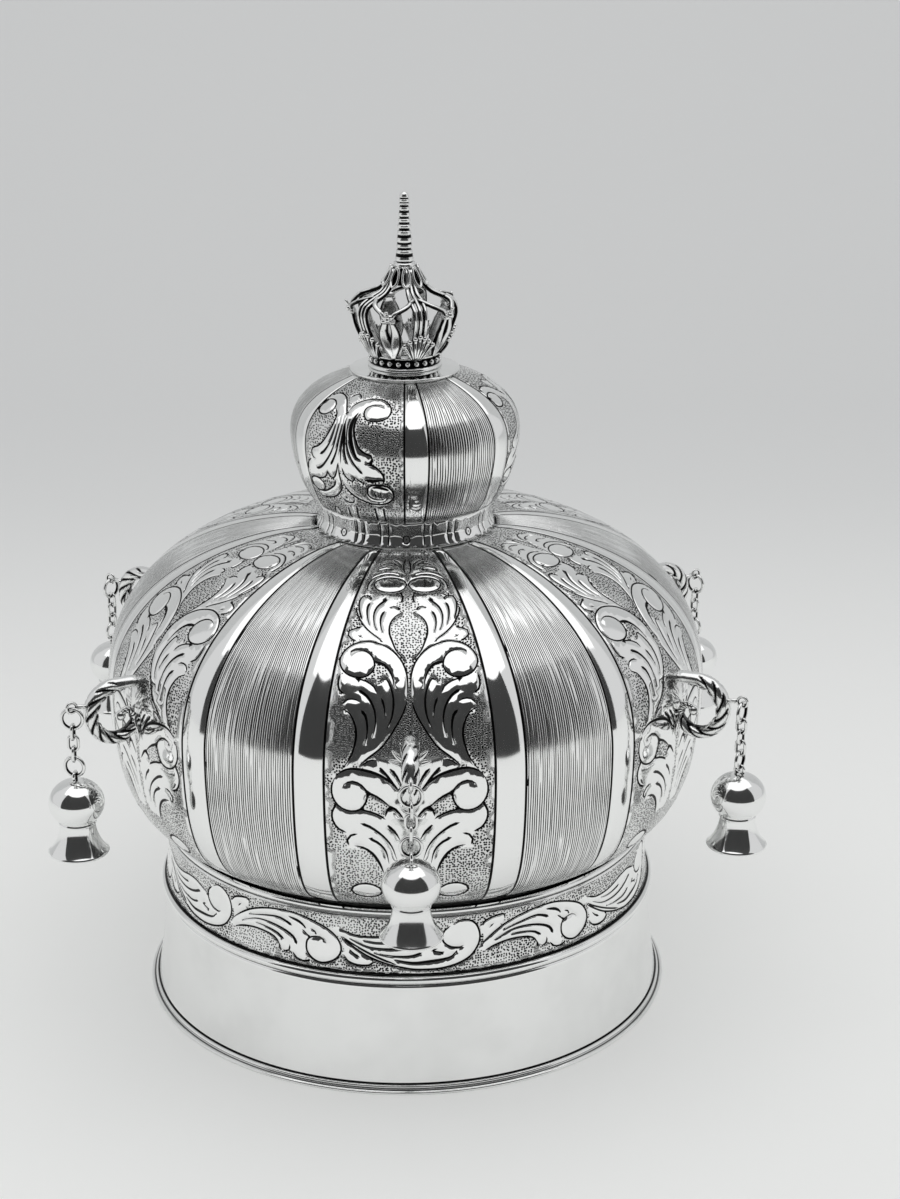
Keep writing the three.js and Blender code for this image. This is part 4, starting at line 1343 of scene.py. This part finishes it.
# cast scroll arms on the dome
arm = {
    "count": 6,
    "centre": (118.6, 132.4),  # of the open scroll, radius and height
    "radius": 10.0,
    "openTurn": 190.0,
    "curl": (114.8, 129.4),
    "curlRadius": 2.5,
    "curlTurn": 430.0,
    "curlBall": 1.9,
    "wide": 3.1,
    "deep": 2.5,
    "thinning": ((0, 0.12, 0.45, 0.62, 1), (0.85, 1, 0.9, 0.62, 0.42)),  # along the bar
    "slashes": 8,  # leaf cuts along the bar
    "starts": 4,  # and round it
    "slashDepth": 0.22,
    "root": 107.5,
    "leafTurns": (20, 45, 70, 95, 120, 145),
    "eye": (1.85, 0.5),  # radius and wire
    "stub": 0.8,
    "spread": ((1.7, 0.462, 1.8), (3.2, 0.447, 1.9), (3.8, 0.427, 1.7)),  # azimuth, share, width
    "hanging": ((0.0, 0.335, 3.4), (1.7, 0.345, 2.4), (-1.7, 0.345, 2.4)),
    "plate": (0.475, 0.44, 0.405, 0.375),  # shares along its middle
    "plateHalf": (3.2, 1.4),  # half its width and half its thickness
}


def scrollPoint(turn):
    # the arm's middle line by the angle turned from its top, outwards and down
    drawn = np.clip((turn - arm["openTurn"]) / 80, 0, 1)
    angle = np.radians(90 - turn)
    radius = arm["radius"] + (arm["curlRadius"] - arm["radius"]) * drawn
    middle = np.array(arm["centre"]) + (np.array(arm["curl"]) - arm["centre"]) * drawn
    return around(middle[0] + radius * math.cos(angle), 0.0, middle[1] + radius * math.sin(angle))


def blade(sheet, path, across, width, thick):
    # a pointed leaf with a cut down its middle
    def form(share, angles):
        swell = np.sin(np.pi * np.clip(share * 0.94 + 0.06, 0, 1)) ** 0.8 + 0.02
        return swell * (1 - 0.3 * np.exp(-((np.sin(angles) - 1) / 0.12) ** 2))

    def marks(share, angles):
        vein = np.exp(-(np.cos(angles) / 0.22) ** 2) * (np.sin(angles) > 0)
        return vein * np.sin(np.pi * share) ** 0.5 + 0.5 * (np.abs(np.cos(angles)) > 0.97)

    sweep(sheet, curveThrough(path, 14), across, width / 2, thick / 2, 16, form, marks)


def slash(share, angles):
    # leaf cuts that run slantwise along both flanks of the bar
    phase = share * arm["slashes"] * 2 * math.pi + angles * arm["starts"] / 2
    flank = np.clip(np.abs(np.cos(angles)) * 2.4 - 0.5, 0, 1)
    fade = np.clip((0.95 - share) / 0.1, 0, 1) * np.clip(share / 0.03, 0, 1) * flank
    return np.clip(1 - np.abs(np.sin(phase)) / 0.66, 0, 1) * fade


def addScroll(sheet):
    turns = np.linspace(0, arm["curlTurn"], 150)
    start = around(arm["root"], 0.0, arm["centre"][1] + arm["radius"] - 0.7)
    between = (start + scrollPoint(0)) / 2 + [0, 0, 0.25]
    path = np.vstack([start, between, *[scrollPoint(turn) for turn in turns]])
    narrow = np.interp(np.linspace(0, 1, len(path)), *arm["thinning"])

    def form(share, angles):
        return 1 - arm["slashDepth"] * slash(share, angles)

    def marks(share, angles):
        return np.clip(slash(share, angles) * 1.8 + 0.6 * (np.sin(angles) > 0.8), 0, 1)

    sweep(sheet, path, (1, 0, 0), arm["wide"] * narrow, arm["deep"] * narrow, 28, form, marks)
    ball(sheet, scrollPoint(arm["curlTurn"]), arm["curlBall"])


def addScrollLeaves(sheet):
    # small leaves along the inner side of the scroll
    for turn in arm["leafTurns"]:
        foot = scrollPoint(turn + 14)
        tip = scrollPoint(turn - 8)
        inward = np.array([0, -arm["centre"][0], arm["centre"][1]]) - foot
        inward /= np.linalg.norm(inward)
        for side in (-1, 1):
            start = foot + inward * 0.8 + [side * 1.2, 0, 0]
            middle = (foot + tip) / 2 + inward * 1.9 + np.array([side * 1.5, 0, 0])
            blade(sheet, [start, middle, tip + inward * 2.4 + [side * 1.9, 0, 0]], (1, 0, 0), 1.9, 1.1)


def addEye(sheet):
    # the eye that the chain hangs from, and its stub
    low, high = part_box("ring_top_1")
    eyeZ = high.z / mm - 0.3
    eyeR = -(low.y + high.y) / 2 / mm
    ringWire(sheet, around(eyeR, 0.0, eyeZ), *arm["eye"], 90)
    reach = arm["centre"][0] + arm["radius"]
    path = [around(reach - 1, 0.0, eyeZ - 1.2), around((reach + eyeR) / 2 - 0.6, 0.0, eyeZ - 0.4),
            around(eyeR - 1.7, 0.0, eyeZ)]
    sweep(sheet, path, (1, 0, 0), arm["stub"], arm["stub"], 10)


def addRoot(sheet, wall):
    # leaves that spread over the dome from the arm's root, and the plate under them
    for azimuth, share, width in arm["spread"]:
        across = (1, 0, 0) if share > 0.46 else (0, 0, 1)
        for side in (1, -1):
            path = [wall.point(side * azimuth * k, 0.415 + (share - 0.415) * k, 0.8 + 0.7 * math.sin(2.6 * k))
                    for k in (0.0, 0.55, 1.0)]
            blade(sheet, path, across, width, 1.2)
    for azimuth, share, width in arm["hanging"]:
        path = [wall.point(azimuth * k, 0.41 + (share - 0.41) * k, 1.3 - 0.6 * k) for k in (0.0, 0.5, 1.0)]
        blade(sheet, path, (1, 0, 0), width, 1.3)
    plate = curveThrough([wall.point(0.0, share, 0.6) for share in arm["plate"]], 12)
    wide, thick = arm["plateHalf"]
    sweep(sheet, plate, (1, 0, 0), wide * np.sin(np.linspace(0.35, 2.9, 12)), thick, 14)


def makeArms():
    pattern = Sheet()
    addScroll(pattern)
    addScrollLeaves(pattern)
    addEye(pattern)
    addRoot(pattern, domeWall())
    for label in range(1, arm["count"] + 1):
        sheet = Sheet()
        sheet.join(pattern, 60 * (label - 1))
        sheet.finish("arm%d" % label, "arm_%d" % label, "cast_silver")


# chains: radius, wire, stretch of the straight sides, and the turn from the arm's plane
ringSizes = {
    "ring_top": (3.7, 0.65, 0.0, 0),
    "link_a": (1.75, 0.55, 1.035, 90),
    "link_b": (1.75, 0.55, 1.035, 0),
    "link_c": (1.75, 0.55, 1.035, 90),
    "ring_low": (3.5, 0.65, 0.0, 0),
}

chainTurns = {1: 4, 2: -6, 3: 12, 4: 0, 5: -8, 6: 48}  # how far each has swung round, degrees


def makeChains():
    for label, swung in chainTurns.items():
        azimuth = 60.0 * (label - 1)
        for node, (radius, thick, stretch, across) in ringSizes.items():
            low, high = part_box("%s_%d" % (node, label))
            facing = azimuth + across + swung + random.uniform(-7, 7)
            sheet = Sheet()
            ringWire(sheet, (low + high) / 2 / mm, radius, thick, facing, stretch)
            sheet.finish(node.replace("_", "") + str(label), "%s_%d" % (node, label), "wire_silver")


bell = {
    "tall": 28.0,
    "sphere": 9.9,
    "flat": 0.88,  # the ball's height for its width
    "waist": 6.35,
    "skirt": 10.8,
    "wall": 0.7,
    "mouthRise": 0.4,
    "bail": (1.8, 0.55),  # radius and wire
    "bailDrop": 2.35,  # its middle below the top of the whole
    "ballDrop": 1.25,  # the ball's top below that
}


def bellProfile(top, bottom):
    # outer line from the mouth up, then inner line from the top down
    sphere, waist, skirt, wall = (bell[k] for k in ("sphere", "waist", "skirt", "wall"))
    squash = np.array([1, bell["flat"]])
    middle = np.array([0, top - sphere * bell["flat"]])
    start = -math.degrees(math.acos(waist / sphere))
    neckZ = float(middle[1] + sphere * bell["flat"] * math.sin(math.radians(start)))
    mouth = (skirt, bottom + 0.5)
    flare = cubic((waist, neckZ - 1.5), (waist + 0.1, neckZ - 5.0), (skirt - 2.6, bottom + 2.8), mouth, 18)
    ballLine = arcPoints((0, 0), sphere, start, 90, 26) * squash + middle
    outer = [(skirt - 0.15, bottom), *flare[::-1], (waist, neckZ - 1.2), (waist + 0.35, neckZ - 0.8),
             (waist + 0.35, neckZ - 0.5), (waist, neckZ - 0.2), *ballLine[:-1], (0, top)]
    hollow = arcPoints((0, 0), sphere - wall, 90, start, 16) * squash + middle
    inner = [(0, hollow[0, 1]), *hollow[1:], *[(x - wall, z) for x, z in flare[::3]]]
    return [*outer, *inner, (skirt - 0.15 - wall, bottom)]


def makeBells():
    low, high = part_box("bell_1")
    reach = -(low.y + high.y) / 2 / mm
    bottom = low.z / mm
    top = high.z / mm - bell["bailDrop"] - bell["ballDrop"]
    profile = bellProfile(min(top, bottom + bell["tall"]), bottom + bell["mouthRise"])
    body = Sheet()
    lathe(body, [*profile, profile[0]], 72)
    points = np.concatenate(body.points)
    for label, swung in chainTurns.items():
        azimuth = 60.0 * (label - 1)
        sheet = Sheet()
        sheet.add(points + around(reach, azimuth, 0.0), body.faces)
        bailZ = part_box("bell_%d" % label)[1].z / mm - bell["bailDrop"]
        ringWire(sheet, around(reach, azimuth, bailZ), *bell["bail"], azimuth + 90 + swung, steps=28)
        sheet.finish("bell%d" % label, "bell_%d" % label, "polished_silver")


makeArms()
makeChains()
makeBells()
print("arms, chains and bells made")


# the small openwork crown; heights are above its beaded base
miniCrown = {
    "straps": 5,
    "firstStrap": 17.5,
    "baseHeight": 5.2,
    "beads": 24,
    "beadRadius": 1.05,
    "petals": 10,
    "ribs": 7,
    "strapSpots": ((11.6, -1.2), (14.4, 4.5), (17.1, 10.0), (18.4, 14.6), (17.3, 18.0), (13.4, 20.2),
                   (9.4, 22.0), (6.8, 24.6), (5.3, 27.6), (4.6, 30.0)),
    "strapSpread": ((0, 0.3, 0.6, 0.85, 1), (1.6, 1.9, 2.2, 1.5, 0.8)),
    "strapRib": (0.7, 0.85),
    "shellRise": 8.6,
    "clasp": 15.2,
    "petalDrop": 6.4,
}


def darkSides(share, angles):
    # oxide left on the flanks of a rib
    return np.clip((np.abs(np.cos(angles)) - 0.55) / 0.35, 0, 1) * np.ones_like(share)


# painted shade: an even mid grey for the shade on the plates behind the ribs
def paintedShadeGrey(share, angles):
    return 0.42 * np.ones_like(share * angles)


def rib(sheet, spots, steps, wide, deep, sides=8, marks=darkSides):
    # a bar through a few spots, seen with its width across
    sweep(sheet, curveThrough(spots, steps), (1, 0, 0), wide, deep, sides, None, marks)


def strapSheet(base):
    # three ribs side by side on a thin strap
    sheet = Sheet()
    spots = [around(radius, 0.0, base + height) for radius, height in miniCrown["strapSpots"]]
    line = curveThrough(spots, 44)
    spread = np.interp(np.linspace(0, 1, len(line)), *miniCrown["strapSpread"])
    for side in (-1, 0, 1):
        path = line + np.stack([side * spread, np.zeros(len(line)), np.zeros(len(line))], 1)
        sweep(sheet, path, (1, 0, 0), *miniCrown["strapRib"], 10, None, darkSides)
    # the plate behind the strap's ribs carries painted shade
    sweep(sheet, line + np.array([0, 0.6, 0]), (1, 0, 0), spread + 0.3, 0.4, 8, None, paintedShadeGrey)
    addShell(sheet, base)
    return sheet


def addShell(sheet, base):
    # a fan of ribs with beaded tips at the strap's foot
    foot = around(12.7, 0.0, base - 0.6)
    for lean in np.linspace(-1, 1, miniCrown["ribs"]):
        height = miniCrown["shellRise"] - 3.4 * abs(lean) ** 1.6
        tip = around(13.6 + height * 0.5, 0.0, base + height) + np.array([lean * 5.2, 0.6 * lean * lean, 0])
        middle = (foot + tip) / 2 + np.array([lean * 0.8, -0.5, 0])
        rib(sheet, [foot + [lean * 1.6, 0, 0], middle, tip], 8, np.linspace(0.4, 0.72, 8), 0.7)
        ball(sheet, tip, 1.0, 6, 8)
    back = curveThrough([foot, around(14.3, 0.0, base + 3.2), around(16.0, 0.0, base + 6.4)], 10)
    # the plate behind the shell's fan carries painted shade
    sweep(sheet, back + [0, 0.4, 0], (1, 0, 0), np.linspace(1.6, 4.6, 10), 0.4, 12, None, paintedShadeGrey)


def budSheet(base):
    # open bud between two straps, with a clasp and two branches
    sheet = Sheet()
    claspZ = base + miniCrown["clasp"]
    half = 180 / miniCrown["straps"]
    for side in (-1, 1):
        leaf = [around(12.2, 0.0, base - 0.5), around(15.4, side * 5.5, base + 5.0),
                around(17.6, side * 7.5, base + 10.0), around(18.6, side * 3.2, claspZ - 0.6)]
        wide = np.interp(np.linspace(0, 1, 16), [0, 0.45, 0.75, 1], [0.8, 2.1, 1.8, 0.9])
        rib(sheet, leaf, 16, wide, 0.7, 10)
        branch = [around(18.9, side * 1.8, claspZ - 0.3), around(18.9, side * 6.5, claspZ + 1.8),
                  around(17.0, side * half * 0.55, claspZ + 4.0),
                  around(12.6, side * half * 0.88, claspZ + 5.6)]
        rib(sheet, branch, 16, 0.95, 0.8)
    back = [around(11.9, 0.0, base - 0.5), around(14.4, 0.0, base + 5.0), around(16.8, 0.0, base + 10.5),
            around(17.8, 0.0, claspZ)]
    wide = np.interp(np.linspace(0, 1, 12), [0, 0.4, 0.75, 1], [2.0, 4.4, 4.0, 1.4])
    # the plate behind the bud carries painted shade
    rib(sheet, back, 12, wide, 0.35, 12, paintedShadeGrey)
    for height, wide in ((-0.6, 2.9), (1.0, 2.5)):
        hoop = [around(18.9, angle, claspZ + height) for angle in (-wide * 2.6, 0, wide * 2.6)]
        sweep(sheet, curveThrough(hoop, 9), (0, 0, 1), 0.85, 1.0, 10)
    ball(sheet, around(20.0, 0.0, claspZ + 0.2), 1.1, 6, 10)
    tip = [around(18.9, 0.0, claspZ + 0.5), around(20.3, 0.0, claspZ + 1.8), around(21.2, 0.0, claspZ + 3.2)]
    rib(sheet, tip, 8, 0.7, 0.5, 8, None)
    return sheet


def petalSheet(top):
    # one looped petal of the top collar
    sheet = Sheet()
    loop = []
    for angle in np.linspace(0, 2 * math.pi, 25):
        drop = 0.5 - 0.5 * math.cos(angle)
        radius = 4.9 + 3.4 * drop ** 1.2
        aside = math.degrees(1.5 * math.sin(angle) * (0.6 + drop * 0.5) / radius)
        loop.append(around(radius, aside, top - miniCrown["petalDrop"] * drop))
    sweep(sheet, loop, around(1.0, 0.0, 0.0), 0.5, 0.5, 8)
    return sheet


def makeMiniCrown():
    _, low, high = span("mini_crown")
    base = low + miniCrown["baseHeight"]
    whole = Sheet()
    # base with a hollow for the beads, then the cone that carries the spire, each with its oxide
    profile = [(10.4, low), (13.35, low), (13.4, low + 0.5), (13.3, low + 1.0), (12.4, low + 1.25),
               (12.0, low + 1.6), (12.0, base - 1.2), (12.4, base - 0.9), (12.9, base - 0.5), (12.7, base),
               (10.4, base), (10.4, low)]
    lathe(whole, profile, 96, [0, 0, 0, 0, 0.7, 1, 1, 0.6, 0, 0, 0, 0])
    bead = Sheet()
    ball(bead, around(12.35, 0.0, low + 2.75), miniCrown["beadRadius"], 7, 10)
    straps, first = miniCrown["straps"], miniCrown["firstStrap"]
    patterns = (
        (bead, miniCrown["beads"], 4.0),
        (strapSheet(base), straps, first),
        (budSheet(base), straps, first + 180 / straps),
        (petalSheet(high - 1.2), miniCrown["petals"], 5.0),
    )
    for pattern, copies, firstTurn in patterns:
        whole.join(repeated(pattern, copies, firstTurn, "cast_silver"))
    cone = [(0, high - 7.9), (5.9, high - 7.4), (4.9, high - 4.6), (3.6, high - 1.9), (3.9, high - 1.3),
            (3.9, high), (0, high)]
    lathe(whole, cone, 40, [0, 1, 1, 0.8, 0, 0, 0])
    whole.finish("miniCrown", "mini_crown", "cast_silver")


spire = {
    "foot": 3.3,
    "tip": 1.75,
    "rings": 11,
    "knob": 2.0,
    "unevenness": 0.12,
    "cuts": (0.35, 0.75),  # least and most depth between rings
}


def makeSpire():
    # a tapering rod wound with uneven rings
    _, low, high = span("spire")
    knobZ = high - spire["knob"]
    shaft = high - spire["knob"] - low
    weights = random.uniform(0.5, 1.7, spire["rings"])
    starts = np.r_[0, np.cumsum(weights)] / weights.sum()
    uneven = spire["unevenness"]
    profile = [(0, low)]
    groove = [0]
    for bottom, top in zip(starts[:-1], starts[1:]):
        crest = spire["foot"] + (spire["tip"] - spire["foot"]) * bottom + random.uniform(-uneven, uneven)
        cut = random.uniform(*spire["cuts"])
        for part, radius, dark in ((0.0, crest - cut, 1), (0.16, crest - 0.12, 0), (0.38, crest, 0),
                                   (0.6, crest - 0.12, 0), (0.74, crest - cut, 0.9), (0.96, crest - cut, 1)):
            profile.append((radius, low + shaft * (bottom + (top - bottom) * part)))
            groove.append(dark)
    knob = arcPoints((0, 0), spire["tip"], 0, 90, 8) * [1, spire["knob"] / spire["tip"]]
    profile += [(x, knobZ + z) for x, z in knob[:-1]]
    profile.append((0, high))
    groove += [0] * len(knob)
    sheet = Sheet()
    lathe(sheet, profile, 40, groove)
    sheet.finish("spireRod", "spire", "cast_silver")


makeMiniCrown()
makeSpire()
print("small crown and spire made")


# backdrop, light and camera
stage = {
    "floor": 3.0,
    "bendFrom": 0.6,  # where the paper starts to rise
    "bend": 0.9,
    "backHeight": 3.0,
    "floorTone": (0.775, 0.78, 0.77, 1),
    # painted shade: the tone of the paper where it rises at the back
    "backShadeTone": (0.57, 0.575, 0.575, 1),
    # painted light: how strongly the paper glows in its own tone
    "paperPaintedGlow": 0.23,
    "worldTone": (0.97, 0.975, 0.98, 1),
    "worldStrength": 0.7,
    "overhead": 6.0,  # watts
    "overheadPlace": (0.05, -0.15, 1.6),
    "overheadSize": (2.2, 1.8),
    "cardTone": (0.06, 0.06, 0.06, 1),
    "cardTurn": 60.0,  # how far round it reaches to either side, degrees
    "cardLow": 0.03,
    "cardHigh": 1.6,
    "cardAway": 1.0,
}

camera = {
    "stand": (-8.4, -867.7, 466.7),
    "turn": 1.641,
    "down": 19.959,
    "roll": 0.110,
    "lens": 74.27,
}


def placed(name, data):
    made = bpy.data.objects.new(name, data)
    bpy.context.scene.collection.objects.link(made)
    return made


def setCamera():
    lens = bpy.data.cameras.new("camera")
    lens.lens = camera["lens"]
    lens.sensor_width = 36
    lens.clip_start = 0.01
    made = placed("camera", lens)
    turn, down, roll = (math.radians(camera[k]) for k in ("turn", "down", "roll"))
    forward = Vector((math.sin(turn) * math.cos(down), math.cos(turn) * math.cos(down), -math.sin(down)))
    right = Vector((math.cos(turn), -math.sin(turn), 0))
    up = right.cross(forward)
    x = math.cos(roll) * right + math.sin(roll) * up
    y = -math.sin(roll) * right + math.cos(roll) * up
    matrix = Matrix((x, y, -forward)).transposed().to_4x4()
    matrix.translation = Vector(camera["stand"]) * mm
    made.matrix_world = matrix
    bpy.context.scene.camera = made


def plainFinish(name, roughness=0.9):
    made = Finish(name)
    made.shader.inputs["Metallic"].default_value = 0.0
    made.shader.inputs["Roughness"].default_value = roughness
    made.shader.inputs["Specular IOR Level"].default_value = 0.1
    return made


def paper():
    # pale paper that glows a little as painted light, with painted shade making it darker where it rises
    # behind the object
    made = plainFinish("paper")
    # painted light: the paper glows, brightening it as more light falling on it would
    made.shader.inputs["Emission Strength"].default_value = stage["paperPaintedGlow"]
    away = made.node("ShaderNodeSeparateXYZ", inputs={"Vector": made.place()}, output="Y")
    # painted shade: the paper's tone darkens further back
    tone = made.mix(away.above(0.0, 0.8), stage["floorTone"], stage["backShadeTone"])
    made.drive("Base Color", tone)
    made.drive("Emission Color", tone)
    return made.material


def darkRoomReflection():
    made = plainFinish("darkRoomReflection")
    # painted reflection: near black, for the dark room mirrored in the metal
    made.shader.inputs["Base Color"].default_value = stage["cardTone"]
    return made.material


def setBackdrop():
    # floor that sweeps up behind the object
    size, start, bend = stage["floor"], stage["bendFrom"], stage["bend"]
    line = [(-size, 0.0), (start, 0.0)]
    for angle in np.radians(np.arange(10, 91, 10)):
        line.append((start + bend * math.sin(angle), bend - bend * math.cos(angle)))
    line.append((start + bend, stage["backHeight"]))
    points = [(x, y, z) for y, z in line for x in (-size, size)]
    mesh = bpy.data.meshes.new("backdrop")
    mesh.from_pydata(points, [], [(2 * i, 2 * i + 1, 2 * i + 3, 2 * i + 2) for i in range(len(line) - 1)])
    mesh.shade_smooth()
    mesh.materials.append(paper())
    placed("backdrop", mesh)


def setCard():
    # painted reflection: a dark sheet standing in for the dark room in front, seen only in the polished metal
    turns = np.radians(np.linspace(-stage["cardTurn"], stage["cardTurn"], 25))
    away = stage["cardAway"]
    corners = [(away * math.sin(a), -away * math.cos(a), z)
               for z in (stage["cardLow"], stage["cardHigh"]) for a in turns]
    mesh = bpy.data.meshes.new("darkCard")
    mesh.from_pydata(corners, [], [face[::-1] for face in gridFaces(2, len(turns))])
    mesh.materials.append(darkRoomReflection())
    card = placed("darkCard", mesh)
    card.visible_camera = False
    card.visible_diffuse = False
    card.visible_shadow = False


def setLight():
    world = bpy.data.worlds.new("studio")
    world.use_nodes = True
    world.node_tree.nodes["Background"].inputs["Color"].default_value = stage["worldTone"]
    world.node_tree.nodes["Background"].inputs["Strength"].default_value = stage["worldStrength"]
    bpy.context.scene.world = world
    light = bpy.data.lights.new("overhead", "AREA")
    light.shape = "RECTANGLE"
    light.size, light.size_y = stage["overheadSize"]
    light.energy = stage["overhead"]
    lamp = placed("overhead", light)
    lamp.location = stage["overheadPlace"]
    aim = Vector((0, -0.1, 0)) - Vector(stage["overheadPlace"])
    lamp.rotation_euler = aim.to_track_quat("-Z", "Y").to_euler()
    lamp.visible_camera = False


setCamera()
setBackdrop()
setLight()
setCard()
bpy.context.scene.view_settings.view_transform = "Standard"
print("stage set")
